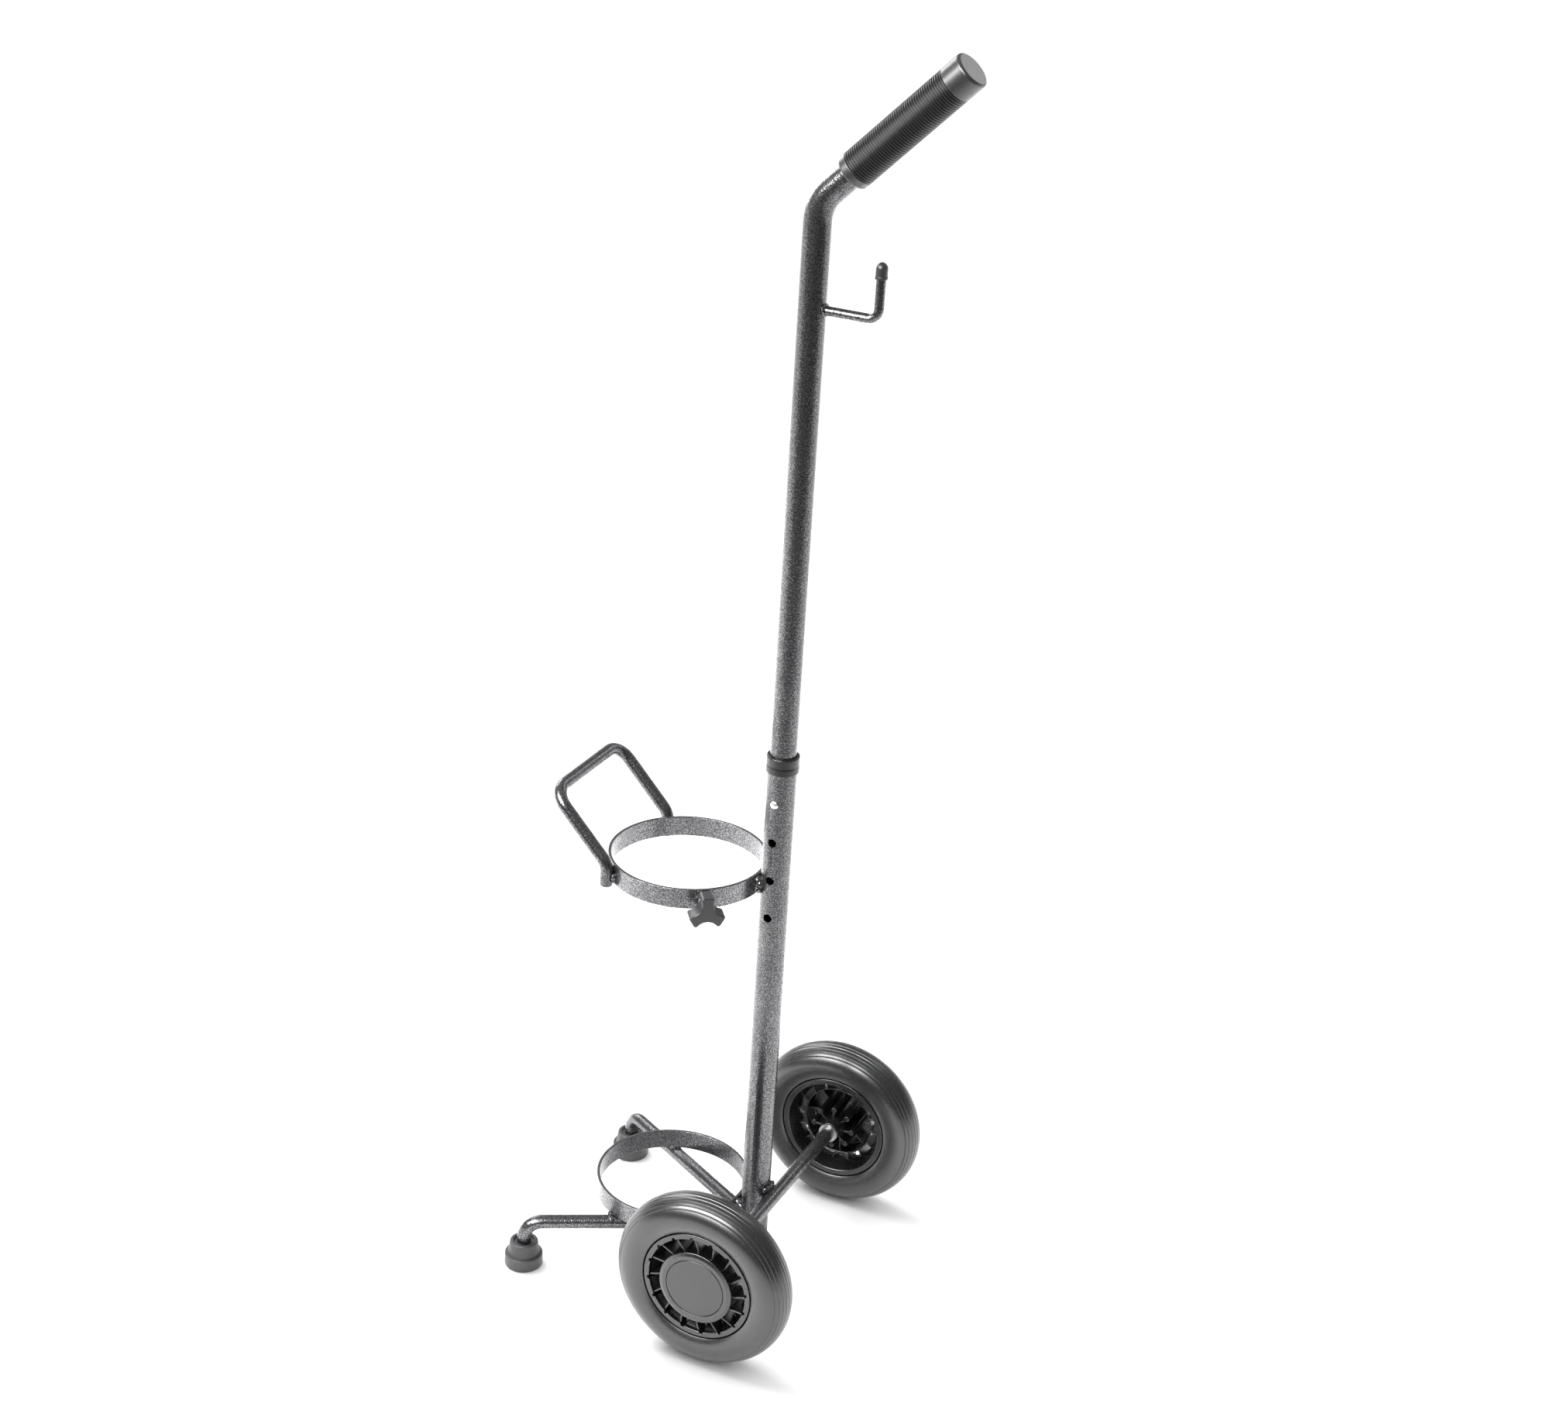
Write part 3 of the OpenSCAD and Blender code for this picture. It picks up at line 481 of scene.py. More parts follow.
def tyre_profile():
    """(radius, along) round the tyre's section: the seat, the seams beside the rim, the round tread."""
    section_r = tyre_w / 2
    ring_r = wheel_r - section_r
    shoulder = math.acos((RIM_R + SEAM_W - ring_r) / section_r)
    inner_t = FACE_T - SEAM_DEPTH
    grooves = [(i - (TREAD_GROOVES - 1) / 2) * TREAD_STEP for i in range(TREAD_GROOVES)]
    half_width = TREAD_GROOVE_HALF_W / section_r

    def depth(turn):
        near = min(abs(turn - groove) for groove in grooves)
        if near >= half_width:
            return 0
        return TREAD_GROOVE_DEPTH * math.cos(near / half_width * math.pi / 2) ** 2

    turns = []
    turn = -shoulder
    while turn < shoulder:
        turns.append(turn)
        near = min(abs(turn - groove) for groove in grooves)
        fine = near < TREAD_NEAR_GROOVE * half_width
        turn += TREAD_FINE_STEP if fine else TREAD_COARSE_STEP
    turns.append(shoulder)
    arc = []
    for turn in turns:
        r = section_r - depth(turn)
        arc.append((ring_r + r * math.cos(turn), r * math.sin(turn)))
    low_wall = [(SEAT_R, SEAM_DEPTH - inner_t), (RIM_R + SEAM_W, -inner_t)]
    high_wall = [(RIM_R + SEAM_W, inner_t), (SEAT_R, inner_t - SEAM_DEPTH)]
    return low_wall + arc + high_wall


def cap_profile():
    """(radius, along) of the plain hub cap, with a rounded edge."""
    return rounded([
        (0, cap_face - CAP_T, 0), (cap_r, cap_face - CAP_T, 0), (cap_r, cap_face, 0.7 * MM),
        (0, cap_face, 0),
    ], closed=False)


def notched(turn, radius, run):
    """Cuts a square notch beside each rib into the face ring's inner edge."""
    step = 2 * math.pi / SLOTS
    off = abs((turn - NOTCH_TURN + step / 2) % step - step / 2)
    if run > NOTCH_START and radius < SLOT_R + NOTCH_BAND and off < NOTCH_W / 2 / SLOT_R:
        return max(radius, SLOT_R) + NOTCH_DEPTH, run
    return radius, run


def barrel_profile():
    """(radius, along) of the rim's barrel, narrow in the middle; each third number rounds a corner."""
    return rounded([
        (SEAT_R, FLANGE_T - FACE_T, 0), (RIM_R, FLANGE_T - FACE_T, 0.3 * MM),
        (RIM_R, -FACE_T, 0.7 * MM), (SLOT_R, -FACE_T, 1.2 * MM),
        (WAIST_R, -WAIST_W / 2, 2 * MM), (WAIST_R, WAIST_W / 2, 1 * MM),
        (WAIST_R + CONE_STEP, CONE_START, 0), (SLOT_R, FACE_T - FACE_RING_T, 0.3 * MM),
        (SLOT_R, FACE_T, 0.6 * MM), (RIM_R, FACE_T, 0.7 * MM),
        (RIM_R, FACE_T - FLANGE_T, 0.3 * MM), (SEAT_R, FACE_T - FLANGE_T, 0),
    ], steps=4)


def hub_profile():
    """(radius, along) of the hub's tube, its disc with a skirt, and the recess for the cap."""
    skirt_r = DISC_R - DISC_WALL / 2
    tube_r = POCKET_R + DISC_WALL
    recess_r = cap_r + CAP_GAP
    return rounded([
        (HUB_BORE_R, -HUB_INNER, 0.4 * MM), (HUB_R, -HUB_INNER, 0.8 * MM),
        (tube_r, -HUB_TAPER_AT, 1.5 * MM), (tube_r, DISC_BACK, 1 * MM),
        (skirt_r, DISC_BACK, 1.5 * MM), (skirt_r, -DISC_SKIRT_IN, 0.6 * MM),
        (DISC_R, -DISC_SKIRT_IN, 0.6 * MM), (DISC_R, DISC_FACE_T - DISC_BEVEL_T, 0.9 * MM),
        (DISC_R - DISC_BEVEL, DISC_FACE_T, 2.5 * MM), (recess_r, DISC_FACE_T, 0.5 * MM),
        (recess_r, DISC_FACE_T - CAP_T, 0.2 * MM), (POCKET_R, DISC_FACE_T - CAP_T, 0.3 * MM),
        (POCKET_R, HUB_OUTER, 0.3 * MM), (HUB_BORE_R, HUB_OUTER, 0.3 * MM),
    ], steps=4)


def add_rim(name, body, at):
    """Barrel with a notched face ring, hub with its disc, ribs in the slots and a star of webs inside."""
    mesh = bmesh.new()
    revolve(mesh, barrel_profile(), at, segments=SLOTS * 30, shape=notched)
    revolve(mesh, hub_profile(), at, segments=128)
    piece(name + "_slotted_rim", mesh, rim_plastic, body, "rim_plastic", name + "_rim")
    mesh = bmesh.new()
    sink = DISC_WALL / 2
    root_r = DISC_R - sink / 2
    rib_top = FACE_T - SLOT_RIB_RECESS
    rib_low = (0, -SLOT_RIB_T / 2, rib_top - SLOT_RIB_DEPTH)
    rib_high = (SLOT_R - root_r, SLOT_RIB_T / 2, rib_top)
    for i in range(SLOTS):
        slot_at = at @ Matrix.Rotation(2 * math.pi * i / SLOTS, 4, "Z")
        rib_at = slot_at @ Matrix.Translation((root_r, 0, 0)) @ Matrix.Rotation(SLOT_RIB_SLANT, 4, "Z")
        slab(mesh, rib_low, rib_high, rib_at, RIB_EDGE)
    web_root = POCKET_R + sink
    web_top = DISC_BACK + sink
    boss = rounded([
        (0, -FACE_T, 0), (BOSS_R, -FACE_T, 0.6 * MM), (BOSS_R, web_top, 0), (0, web_top, 0),
    ], closed=False)
    for i in range(WEBS):
        web_at = at @ Matrix.Rotation(2 * math.pi * i / WEBS, 4, "Z")
        for reach, foot in ((root_r, DISC_BACK - WEB_H), (BOSS_RING_R, -FACE_T)):
            slab(mesh, (web_root, -WEB_T / 2, foot), (reach, WEB_T / 2, web_top), web_at, RIB_EDGE)
        boss_at = web_at @ Matrix.Translation((BOSS_RING_R, 0, 0))
        revolve(mesh, boss, boss_at, segments=24, closed=False)
    # The ribs and webs take the darker copy of the rim plastic: painted shade
    piece(name + "_rim_ribs", mesh, shaded_rib_plastic, body, "rim_plastic")


for side, body in ((1, "left_wheel"), (-1, "right_wheel")):
    outward = Matrix.Rotation(side * math.pi / 2, 4, "Y")
    wheel_at = Matrix.Translation((side * wheel_x, axle_y, axle_z)) @ outward
    name = body.split("_")[0]
    turned(name + "_tyre_tread", tyre_profile(), wheel_at, tyre_rubber, body, "tyre_rubber",
           name + "_tyre", segments=144)
    turned(name + "_hub_cover", cap_profile(), wheel_at, cap_plastic, body, "rim_plastic",
           name + "_hub_cap", segments=120, closed=False)
    add_rim(name, body, wheel_at)

# Mast fittings


def add_collar():
    """A sleeve with a wider lower half and a lip over the tube's end."""
    bore = upper_r + SLIDE_PLAY
    outer = size("mast_collar").x / 2
    top = collar_high.z - collar_low.z
    profile = rounded([
        (mast_r, 0, 0.2 * MM), (outer, 0, 0.5 * MM), (outer, 0.35 * top, 0.5 * MM),
        (outer - COLLAR_STEP, 0.45 * top, 0.5 * MM), (outer - COLLAR_DRAFT, top, 1.3 * MM),
        (bore, top, 0.8 * MM), (bore, top - COLLAR_LIP, 0.1 * MM), (mast_r, top - COLLAR_LIP, 0.1 * MM),
    ])
    turned("collar_ring", profile, along((0, mast_y, collar_low.z), (0, 0, 1)), black_plastic, "frame",
           "black_plastic", "mast_collar")


def add_button():
    """A stud with a flange inside the tube and a domed end."""
    at = along((0, mast_y, button_z), (1, 0, 0))
    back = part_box("snap_button")[0].x
    flange_r = size("snap_button").z / 2
    flange = back + BUTTON_FLANGE_T
    dome_start = button_face - BUTTON_DOME
    profile = [(0, back), (flange_r, back), (flange_r, flange), (BUTTON_R, flange)]
    profile.append((BUTTON_R, dome_start))
    profile += [(BUTTON_R * math.cos(a), dome_start + BUTTON_DOME * math.sin(a))
                for a in (math.radians(9 * k) for k in range(1, 10))]
    profile.append((0, button_face))
    turned("button_dome", profile, at, chrome, "button", "button_chrome", "snap_button", segments=48,
           closed=False)


add_collar()
add_button()

# Hand grip and hook


def add_grip():
    """The ribbed sleeve, and the plain flange and closed end on either side of it."""
    direction = Vector((0, math.sin(GRIP_SLANT), math.cos(GRIP_SLANT)))
    at = along(GRIP_CORNER + direction * GRIP_START, direction)
    ribs_end = GRIP_FLANGE_L + GRIP_RIBS * GRIP_RIB_PITCH
    length = ribs_end + GRIP_END_L
    root = GRIP_R - GRIP_RIB_DEPTH
    ribs = [Vector((upper_r, GRIP_FLANGE_L)), Vector((root, GRIP_FLANGE_L))]
    steps = 8
    for rib in range(GRIP_RIBS):
        for step in range(1, steps + 1):
            run = step / steps
            crest = root + GRIP_RIB_DEPTH * math.sin(math.pi * run) ** 0.7
            ribs.append(Vector((crest, GRIP_FLANGE_L + (rib + run) * GRIP_RIB_PITCH)))
    ribs.append(Vector((upper_r, ribs_end)))
    turned("grip_sleeve", ribs, at, grip_rubber, "push_handle", "grip_rubber", "hand_grip", segments=96)
    mesh = bmesh.new()
    revolve(mesh, rounded([
        (upper_r, 0, 0.5 * MM), (GRIP_R, 0, 1.6 * MM), (GRIP_R, GRIP_FLANGE_L, 0.8 * MM),
        (upper_r, GRIP_FLANGE_L, 0),
    ]), at)
    revolve(mesh, rounded([
        (0, length - GRIP_END_WALL, 0), (upper_r, length - GRIP_END_WALL, 0), (upper_r, ribs_end, 0),
        (GRIP_R, ribs_end, 0.5 * MM), (GRIP_R, length, GRIP_EDGE), (0, length, 0),
    ], closed=False, steps=8), at, closed=False)
    # The plain ends take the lighter copy of the grip rubber: painted light
    piece("grip_ends", mesh, grip_rubber_lit_copy, "push_handle", "grip_rubber")


def add_hook_cap():
    """A domed cap with a slightly wider lip at its open end."""
    r = hook_cap_r
    side_r = r - CAP_LIP_STEP
    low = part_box("hook_cap")[0].z
    dome = hook_top - r - low
    profile = rounded([
        (HOOK_ROD_R, dome, 0), (HOOK_ROD_R, 0, 0.2 * MM), (r, 0, 0.5 * MM), (r, CAP_LIP_H, 0.3 * MM),
        (side_r, CAP_LIP_END, 0.3 * MM), (side_r, dome, 0),
    ], closed=False)
    profile += [Vector((side_r * math.cos(a), dome + r * math.sin(a)))
                for a in (math.radians(7.5 * k) for k in range(1, 12))]
    profile += [Vector((0, dome + r)), Vector((0, dome))]
    turned("hook_end_cap", profile, along((0, hook_y, low), (0, 0, 1)), knob_plastic, "push_handle",
           "black_plastic", "hook_cap", segments=48, closed=True)


add_grip()
add_hook_cap()

# Feet


def add_foot(name):
    """A ferrule: a flat base, a cone, and a dished rim round the leg."""
    x, y = middle(name).xy
    rim_r = FOOT_TOP_R - FOOT_RIM
    profile = rounded([
        (0, 0, 0), (foot_base_r, 0, 1.6 * MM), (foot_base_r, FOOT_BASE_H, 1.1 * MM),
        (FOOT_CONE_R, FOOT_BASE_H, 0.4 * MM), (FOOT_TOP_R, foot_h, 1.4 * MM), (rim_r, foot_h, 1.2 * MM),
        (rim_r, foot_h - FOOT_DISH, 0.5 * MM), (LEG_R, foot_h - FOOT_DISH, 0.4 * MM),
        (LEG_R, FOOT_FLOOR, 0), (0, FOOT_FLOOR, 0),
    ], closed=False)
    turned(name + "_ferrule", profile, along((x, y, 0), (0, 0, 1)), foot_rubber, "frame", "foot_rubber",
           name, segments=96, closed=False)


add_foot("left_foot")
add_foot("right_foot")

# Clamp knob and stud


def knob_outline():
    """Three lobes with flat ends and hollow sides, and arcs where they meet."""
    hollow_at = KNOB_WAIST_R + KNOB_HOLLOW_R
    centre = Vector((hollow_at * math.cos(math.pi / 3), hollow_at * math.sin(math.pi / 3)))
    ahead = KNOB_R - KNOB_CORNER_R - centre.x
    rise = centre.y - math.sqrt((KNOB_HOLLOW_R + KNOB_CORNER_R) ** 2 - ahead ** 2)
    corner = Vector((KNOB_R - KNOB_CORNER_R, rise))
    meet = math.atan2(centre.y - corner.y, centre.x - corner.x)
    side = [corner + KNOB_CORNER_R * Vector((math.cos(a), math.sin(a)))
            for a in (meet * k / 6 for k in range(7))]
    start = meet + math.pi
    end = 2 * math.pi / 3 - start + 2 * math.pi
    hollow = [centre + KNOB_HOLLOW_R * Vector((math.cos(a), math.sin(a)))
              for a in (start + (end - start) * k / 16 for k in range(1, 16))]
    mirrored = [Vector((p.x, -p.y)) for p in reversed(side)]
    points = []
    for lobe in range(3):
        turn = Matrix.Rotation(lobe * 2 * math.pi / 3, 2)
        points += [turn @ p for p in mirrored + side + hollow]
    return points


def prism(mesh, outline, low, high, edge, at, steps=4):
    """A prism over an outline, with rounded edges at both ends."""
    count = len(outline)
    inward = []
    for i in range(count):
        run = outline[(i + 1) % count] - outline[i - 1]
        inward.append(Vector((-run.y, run.x)).normalized())
    layers = []
    for k in range(steps + 1):
        a = math.pi / 2 * k / steps
        layers.append((edge * (1 - math.sin(a)), low + edge * (1 - math.cos(a))))
    layers += [(inset, high + low - z) for inset, z in reversed(layers)]
    rings = []
    for inset, z in layers:
        rings.append([mesh.verts.new(at @ (p + n * inset).to_3d() + at.to_3x3() @ Vector((0, 0, z)))
                      for p, n in zip(outline, inward)])
    for a, b in zip(rings, rings[1:]):
        for k in range(count):
            n = (k + 1) % count
            mesh.faces.new((a[k], a[n], b[n], b[k]))
    for ring, z in ((rings[0], low), (rings[-1], high)):
        middle_vert = mesh.verts.new(at @ Vector((0, 0, z)))
        for k in range(count):
            mesh.faces.new((ring[k], ring[(k + 1) % count], middle_vert))


clamp_out = Vector((math.cos(CLAMP_ANGLE), math.sin(CLAMP_ANGLE), 0))
clamp_z = middle("upper_hoop").z
hoop_middle = Vector((0, hoop_y, clamp_z))
clamp_side = Vector((-clamp_out.y, clamp_out.x, 0))
# The frame's X points up, so that one lobe does, and its Z points out of the hoop
clamp_turn = Matrix((Vector((0, 0, 1)), -clamp_side, clamp_out)).transposed().to_4x4()
clamp_at = Matrix.Translation(hoop_middle) @ clamp_turn


def add_knob():
    """The lobed knob on its round neck."""
    mesh = bmesh.new()
    back = hoop_r + KNOB_STANDOFF
    lobes = back + KNOB_NECK_L
    prism(mesh, knob_outline(), lobes, lobes + KNOB_T, KNOB_EDGE, clamp_at)
    neck = rounded([
        (STUD_R, back, 0), (KNOB_NECK_R, back, 0.8 * MM), (KNOB_NECK_R, lobes + KNOB_T / 2, 0),
        (STUD_R, lobes + KNOB_T / 2, 0),
    ])
    revolve(mesh, neck, clamp_at, segments=48)
    piece("clamp_hand_knob", mesh, knob_plastic, "clamp_screw", "knob_plastic", "clamp_knob")


def add_stud():
    """The stud, with its thread as a true helix."""
    start = HOOP_INNER_R + TIP_SET_BACK + TIP_L
    end = hoop_r + KNOB_STANDOFF + KNOB_NECK_L
    per_turn = 8
    segments = 32
    rows = round((end - start) / THREAD_PITCH * per_turn)
    mesh = bmesh.new()
    rings = []
    for row in range(rows + 1):
        run = (end - start) * row / rows
        ring = []
        for k in range(segments):
            turn = 2 * math.pi * k / segments
            phase = (run / THREAD_PITCH - k / segments) % 1
            lift = min(1, THREAD_FLANK * abs(phase - 0.5))
            r = STUD_R - THREAD_DEPTH * (1 - lift)
            point = Vector((r * math.cos(turn), r * math.sin(turn), start + run))
            ring.append(mesh.verts.new(clamp_at @ point))
        rings.append(ring)
    for a, b in zip(rings, rings[1:]):
        for k in range(segments):
            n = (k + 1) % segments
            mesh.faces.new((a[k], a[n], b[n], b[k]))
    mesh.faces.new(rings[0])
    mesh.faces.new(rings[-1])
    piece("clamp_threaded_stud", mesh, zinc, "clamp_screw", "zinc", "clamp_stud")


add_knob()
add_stud()

# Weld beads: radii, lengths and how far a bead's middle line lies from the pieces that it joins
BEAD_STEP = 0.7 * MM
LUMP_SCALE = 330
RIPPLE = 0.07
RIPPLE_PITCH = 2.2 * MM
WELD_IN_WALL = 0.7 * MM
HOOP_BEAD_R = 4.3 * MM
HOOP_BEAD_X = 7 * MM
HOOP_BEAD_OFF = 1 * MM
HOOP_BEAD_END = 1 * MM
HOOP_LUMP_R = 2.6 * MM
HOOP_LUMP_LOW = (10 * MM, 3.5 * MM, 3 * MM)
HOOP_LUMP_HIGH = (10.5 * MM, 4 * MM, -4 * MM)
AXLE_BEAD_R = 3.4 * MM
AXLE_BEAD_OFF = 0.9 * MM
AXLE_BEAD_RISE = 5.6 * MM
AXLE_BEAD_SLOPE = 0.1
AXLE_BEAD_STEPS = 15
AXLE_BEAD_STEP = 0.62 * MM
HANDLE_BEAD_R = 2.8 * MM
HANDLE_BEAD_OFF = 1.3 * MM
LEG_WELD_DROP = 1 * MM
LEG_BEAD_R = 2.3 * MM
LEG_BEAD_HALF = 3.5 * MM
LEG_BEAD_OFF = 1.6 * MM
LEG_BEAD_SIDE = 4.2 * MM
LEG_BEAD_DROP = 0.8 * MM
ROOT_BEAD_R = 2.9 * MM
ROOT_BEAD_L = 10 * MM
ROOT_BEAD_IN = 1 * MM
ROOT_BEAD_SIDE = 5.6 * MM
ROOT_BEAD_DROP = 3.2 * MM
ROOT_BEAD_FALL = 0.5 * MM
HOOK_BEAD_R = 1.5 * MM
HOOK_LUMP_SCALE = 2.2
HOOK_LUMP_RISE = 0.5
HOOK_LUMP_WIDTH = 0.4
HOOK_WIDTH_SCALE = 1.7


def between(start, end):
    """Points from start to end, about a step apart."""
    start, end = Vector(start), Vector(end)
    count = max(10, round((end - start).length / BEAD_STEP))
    return [start.lerp(end, i / (count - 1)) for i in range(count)]


def bead(mesh, path, radius, seed, rough=0.3):
    """A lumpy bead of weld along a path, with rounded ends."""
    count = len(path)
    step = (path[1] - path[0]).length
    shift = Vector((seed * 3.7, seed * 1.9, seed * 5.3))

    def lumpy(i, turn):
        run = min(i, count - 1 - i) * step / radius
        cap = math.sqrt(max(0.02, 1 - max(0, 1 - run) ** 2))
        ripple = RIPPLE * math.cos(2 * math.pi * i * step / RIPPLE_PITCH)
        around = Vector((math.cos(turn), math.sin(turn), 0)) * radius
        place = path[i] * LUMP_SCALE + around * LUMP_SCALE + shift
        return radius * cap * (1 + ripple + rough * noise.noise(place))

    sweep(mesh, path, lumpy)


def clear_bore(mesh):
    """Moves a weld's points out of the mast's bore, where the upper tube slides, into its wall."""
    axis = Vector((0, mast_y))
    reach = mast_r - WELD_IN_WALL
    for vert in mesh.verts:
        off = vert.co.xy - axis
        if off.length < reach:
            vert.co.xy = axis + off.normalized() * reach


def add_hoop_welds():
    """An upright bead on each side of the mast, and a lump beside it, at both hoops."""
    mesh = bmesh.new()
    y = mast_y - mast_r - HOOP_BEAD_OFF
    seed = 1
    for z in (upper_hoop_z, lower_hoop_z):
        for side in (-1, 1):
            x = side * HOOP_BEAD_X
            low = (x, y, z + HOOP_BEAD_END)
            high = (x, y, z + band_h - HOOP_BEAD_END)
            bead(mesh, between(low, high), HOOP_BEAD_R, seed)
            a, b = HOOP_LUMP_LOW, HOOP_LUMP_HIGH
            low = (side * a[0], y + a[1], z + a[2])
            high = (side * b[0], y + b[1], z + band_h + b[2])
            bead(mesh, between(low, high), HOOP_LUMP_R, seed + 0.5, 0.5)
            seed += 1
    clear_bore(mesh)
    piece("hoop_weld_beads", mesh, paint, "frame", "frame_paint", "hoop_welds")


def add_axle_welds():
    """A bead above and one below the axle, bent round the mast."""
    mesh = bmesh.new()
    for step in (-1, 1):
        path = []
        for k in range(2 * AXLE_BEAD_STEPS + 1):
            x = (k - AXLE_BEAD_STEPS) * AXLE_BEAD_STEP
            y = mast_y + math.sqrt(mast_r ** 2 - x ** 2) + AXLE_BEAD_OFF
            rise = AXLE_BEAD_RISE + AXLE_BEAD_SLOPE * abs(x)
            path.append(Vector((x, y, axle_z + step * rise)))
        bead(mesh, path, AXLE_BEAD_R, 7 + step, 0.4)
    clear_bore(mesh)
    piece("axle_weld_beads", mesh, paint, "frame", "frame_paint", "axle_welds")


def add_handle_welds():
    """Upright beads on both sides of each end of the carrying handle."""
    mesh = bmesh.new()
    low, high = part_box("handle_welds")
    off = HANDLE_ROD_R / (hoop_r + HANDLE_ROD_R)
    for side in (-1, 1):
        for step in (-1, 1):
            turn = side * (HANDLE_ANGLE + step * off) - math.pi / 2
            out = Vector((math.cos(turn), math.sin(turn), 0)) * (hoop_r + HANDLE_BEAD_OFF)
            start = Vector((out.x, hoop_y + out.y, low.z))
            end = start + Vector((0, 0, high.z - low.z))
            bead(mesh, between(start, end), HANDLE_BEAD_R, 11 + 2 * side + step, 0.4)
    piece("handle_weld_beads", mesh, paint, "frame", "frame_paint", "handle_welds")


def add_leg_welds():
    """Lumps where the legs pass under the lower hoop and where they meet the mast."""
    mesh = bmesh.new()
    ahead = mast_y - hoop_y
    mast = Vector((0, mast_y, lower_hoop_z - LEG_WELD_DROP))
    for side, foot in ((1, "left_foot"), (-1, "right_foot")):
        toe = middle(foot)
        leg = Vector((toe.x, toe.y - mast_y, 0)).normalized()
        across = Vector((-leg.y, leg.x, 0))
        run = -leg.y * ahead + math.sqrt(hoop_r ** 2 - ahead ** 2 + (leg.y * ahead) ** 2)
        cross = mast + leg * run
        tangent = Vector((-(cross.y - hoop_y), cross.x, 0)).normalized()
        out = Vector((cross.x, cross.y - hoop_y, 0)).normalized()
        for step in (-1, 1):
            seed = 20 + 3 * side + step
            near = cross + out * LEG_BEAD_OFF + across * step * LEG_BEAD_SIDE
            near += Vector((0, 0, -LEG_BEAD_DROP))
            half = tangent * LEG_BEAD_HALF
            bead(mesh, between(near - half, near + half), LEG_BEAD_R, seed, 0.35)
            root = mast + leg * (mast_r - ROOT_BEAD_IN) + across * step * ROOT_BEAD_SIDE
            root += Vector((0, 0, -ROOT_BEAD_DROP))
            end = root + leg * ROOT_BEAD_L + Vector((0, 0, -ROOT_BEAD_FALL))
            bead(mesh, between(root, end), ROOT_BEAD_R, seed + 1.3, 0.35)
    piece("leg_weld_lumps", mesh, paint, "frame", "frame_paint", "leg_welds")


def add_hook_weld():
    """A lumpy ring where the hook's arm meets the mast."""
    at = along((0, mast_y + upper_r, middle("hook_weld").z), (0, 1, 0))
    ring_r = HOOK_ROD_R + HOOK_BEAD_R / 2
    profile = [(ring_r + HOOK_BEAD_R * math.cos(a), HOOK_BEAD_R * math.sin(a))
               for a in (2 * math.pi * k / 20 for k in range(20))]

    def lumpy(turn, radius, run):
        place = Vector((math.cos(turn), math.sin(turn), run / ring_r)) * HOOK_LUMP_SCALE
        swell = (radius - HOOK_ROD_R) * HOOK_LUMP_RISE * noise.noise(place)
        widen = HOOK_LUMP_WIDTH * noise.noise(place * HOOK_WIDTH_SCALE)
        return radius + swell, run * (1 + widen)

    turned("hook_weld_ring", profile, at, paint, "push_handle", "frame_paint", "hook_weld", segments=64,
           shape=lumpy)


add_hoop_welds()
add_axle_welds()
add_handle_welds()
add_leg_welds()
add_hook_weld()

# CAD nodes that keep their shape and take a finish
FINISHES = {
    paint: [
        "lower_mast", "upper_mast", "carrying_handle", "left_leg", "right_leg", "axle", "clamp_nut",
        "bag_hook",
    ],
    # Painted light: the hoops take the lighter copy of the frame paint
    lit_band_paint: ["upper_hoop", "lower_hoop"],
    black_plastic: ["mast_plug"],
    zinc: ["left_washer", "right_washer", "left_clip", "right_clip", "snap_spring"],
    knob_plastic: ["clamp_tip"],
}
for material, names in FINISHES.items():
    for name in names:
        for holder in nodes[name].material_slots:
            holder.material = material

for name in ("upper_hoop", "lower_hoop"):
    weld = nodes[name].modifiers.new("weld", "WELD")
    weld.merge_threshold = 0.01 * MM
    edges = nodes[name].modifiers.new("edges", "BEVEL")
    edges.width = BAND_EDGE
    edges.segments = 3
    edges.limit_method = "ANGLE"
    edges.angle_limit = math.radians(40)
    nodes[name].modifiers.new("normals", "WEIGHTED_NORMAL").weight = 100

# Floor and light
FLOOR_HALF = 40.0
FLOOR_DROP = 0.3 * MM
FLOOR_WHITE = 0.9
# What reflections see is painted into the floor's colour for glossy rays only: a painted reflection
# brighter than the lit sheet, which fades out on one side of the object, and painted shade under it
FLOOR_SHEEN = 1.42
SHEET_END_SHEEN = 0.06
SHEET_AHEAD = Vector((0.915, 0.4035, 0))
SHEET_FADE = (0.25, 1.75)
UNDER_PAINTED_SHADE = 0.3
PAINTED_SHADE_FADE = (0.07, 0.18)
# The world's strength from horizon to zenith: as it lights, and as reflections see it, with a bright
# backdrop low down behind the object
AMBIENT = (0.15, 1.7)
ROOM = (0.06, 0.5)
ROOM_RISE = (0.1, 0.95)
BACKDROP = 0.9
BACKDROP_HEADING = Vector((-0.91, -0.41, 0))
BACKDROP_RISE = (0.1, 0.55)
BACKDROP_SIDE = (0.0, 0.4)
WHEELS_AIM = (0, 0, 0.1)
MAST_AIM = (0, 0, 0.8)


def flat(name, corners, material):
    """A single face that belongs to the stage."""
    mesh = bmesh.new()
    mesh.faces.new([mesh.verts.new(c) for c in corners])
    data = bpy.data.meshes.new(name)
    mesh.to_mesh(data)
    mesh.free()
    data.materials.append(material)
    made = bpy.data.objects.new(name, data)
    bpy.context.scene.collection.objects.link(made)


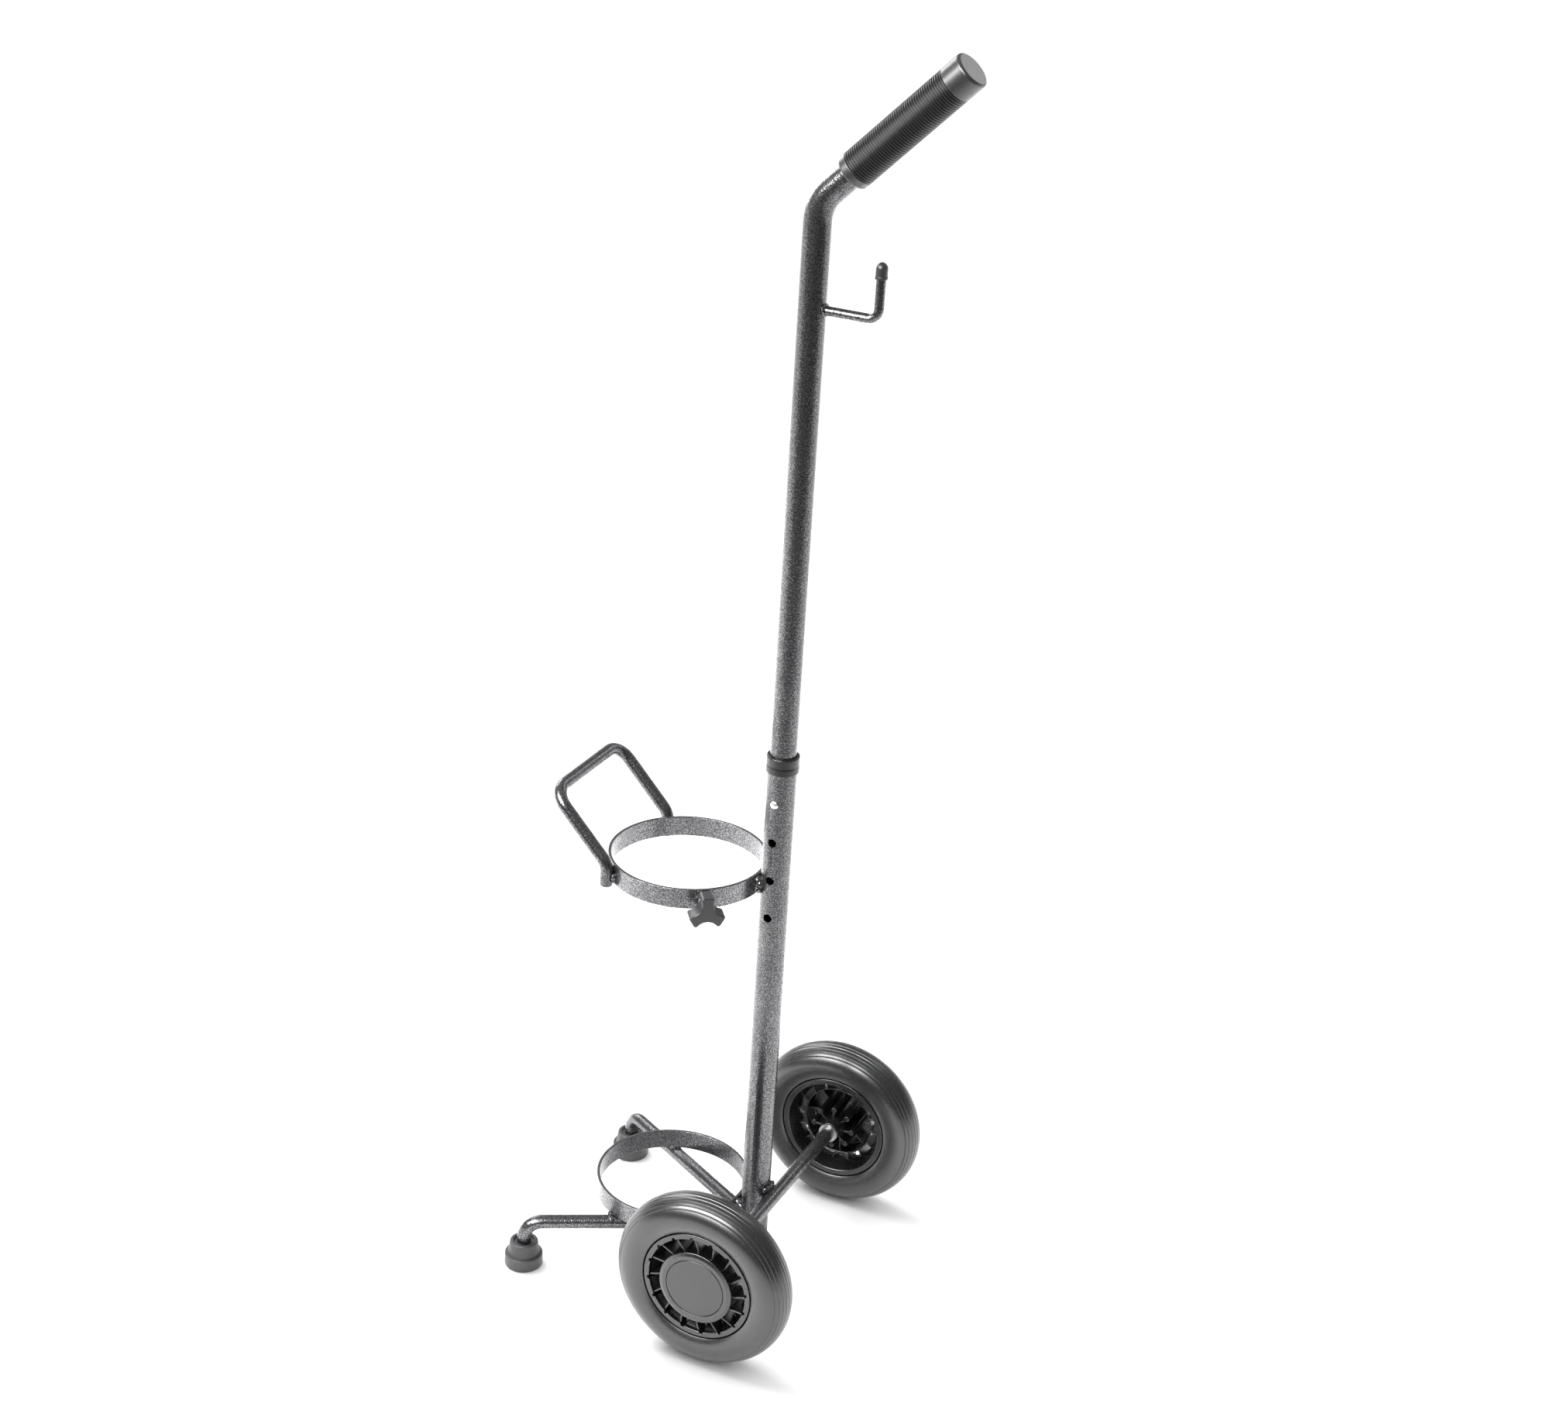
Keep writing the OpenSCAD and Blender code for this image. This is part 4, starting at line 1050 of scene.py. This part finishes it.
def add_floor():
    """A white sheet, well exposed; in reflections its colour is painted: brighter, ending before a dark
    room, and with painted shade under the object.
    """
    material, tree, shader, place = new_material("floor", Roughness=0.9, Specular_IOR_Level=0.0)
    ahead = add(tree, "VectorMath", {0: place, 1: SHEET_AHEAD}, operation="DOT_PRODUCT").outputs["Value"]
    # Painted reflection: in reflections the sheet is brighter than it is lit, and fades to dark along
    # SHEET_AHEAD
    sheet = spread(tree, ahead, FLOOR_SHEEN, SHEET_END_SHEEN, *SHEET_FADE)
    away = add(tree, "VectorMath", {0: place}, operation="LENGTH").outputs["Value"]
    # Painted shade: in reflections the floor is darker close under the object
    under = spread(tree, away, UNDER_PAINTED_SHADE, 1.0, *PAINTED_SHADE_FADE)
    gloss = add(tree, "Math", {0: sheet, 1: under}, operation="MULTIPLY").outputs[0]
    ray = add(tree, "LightPath").outputs["Is Glossy Ray"]
    seen = add(tree, "Mix", {"Factor": ray, 2: FLOOR_WHITE, 3: gloss}, data_type="FLOAT")
    tree.links.new(seen.outputs[0], shader.inputs["Base Color"])
    h, z = FLOOR_HALF, -FLOOR_DROP
    flat("floor", [(-h, -h, z), (h, -h, z), (h, h, z), (-h, h, z)], material)


def add_light(name, place, target, width, height, power, glossy=True, diffuse=True):
    """A soft box; one may serve only as a highlight, or only to light matt surfaces."""
    data = bpy.data.lights.new(name, "AREA")
    data.shape = "RECTANGLE"
    data.size, data.size_y = width, height
    data.energy = power
    light = bpy.data.objects.new(name, data)
    light.location = place
    light.rotation_mode = "QUATERNION"
    light.rotation_quaternion = (Vector(target) - Vector(place)).to_track_quat("-Z", "Y")
    light.visible_glossy = glossy
    light.visible_diffuse = diffuse
    bpy.context.scene.collection.objects.link(light)


def add_world():
    """Soft light from all round; reflections see a darker room, and the camera a white wall."""
    world = bpy.data.worlds.new("studio")
    world.use_nodes = True
    tree = world.node_tree
    even = tree.nodes["Background"]
    heading = add(tree, "TexCoord").outputs["Generated"]
    rise = add(tree, "SeparateXYZ", {"Vector": heading}).outputs["Z"]
    even.inputs["Color"].default_value = (1, 1, 1, 1)
    tree.links.new(spread(tree, rise, *AMBIENT, 0.0, 1.0), even.inputs["Strength"])
    sky = spread(tree, rise, *ROOM, *ROOM_RISE)
    behind = add(tree, "VectorMath", {0: heading, 1: BACKDROP_HEADING}, operation="DOT_PRODUCT")
    low = spread(tree, rise, BACKDROP, 0.0, *BACKDROP_RISE)
    there = spread(tree, behind.outputs["Value"], 0, 1, *BACKDROP_SIDE)
    backdrop = add(tree, "Math", {0: low, 1: there}, operation="MULTIPLY").outputs[0]
    lit = add(tree, "Math", {0: sky, 1: backdrop}, operation="MAXIMUM").outputs[0]
    room = add(tree, "Background", {"Color": (1, 1, 1, 1), "Strength": lit})
    wall = add(tree, "Background", {"Color": (1, 1, 1, 1), "Strength": 1.0})
    path = add(tree, "LightPath")
    light = even.outputs[0]
    for ray, other in (("Is Glossy Ray", room), ("Is Camera Ray", wall)):
        mix = add(tree, "MixShader", {0: path.outputs[ray], 1: light, 2: other.outputs[0]})
        light = mix.outputs[0]
    tree.links.new(light, tree.nodes["World Output"].inputs["Surface"])
    bpy.context.scene.world = world


add_floor()
add_world()
add_light("front_panel", (2.1, -0.9, 2.2), WHEELS_AIM, 3.0, 1.6, 300, diffuse=False)
add_light("left_panel", (-0.3, -1.4, 2.1), WHEELS_AIM, 2.0, 1.6, 80, glossy=False)
add_light("left_glow", (-1.3, -2.1, 1.6), MAST_AIM, 1.4, 1.4, 35, diffuse=False)
add_light("back_soft_box", (-1.9, 0.75, 1.9), MAST_AIM, 0.8, 0.9, 5, diffuse=False)
bpy.context.scene.view_settings.view_transform = "Standard"
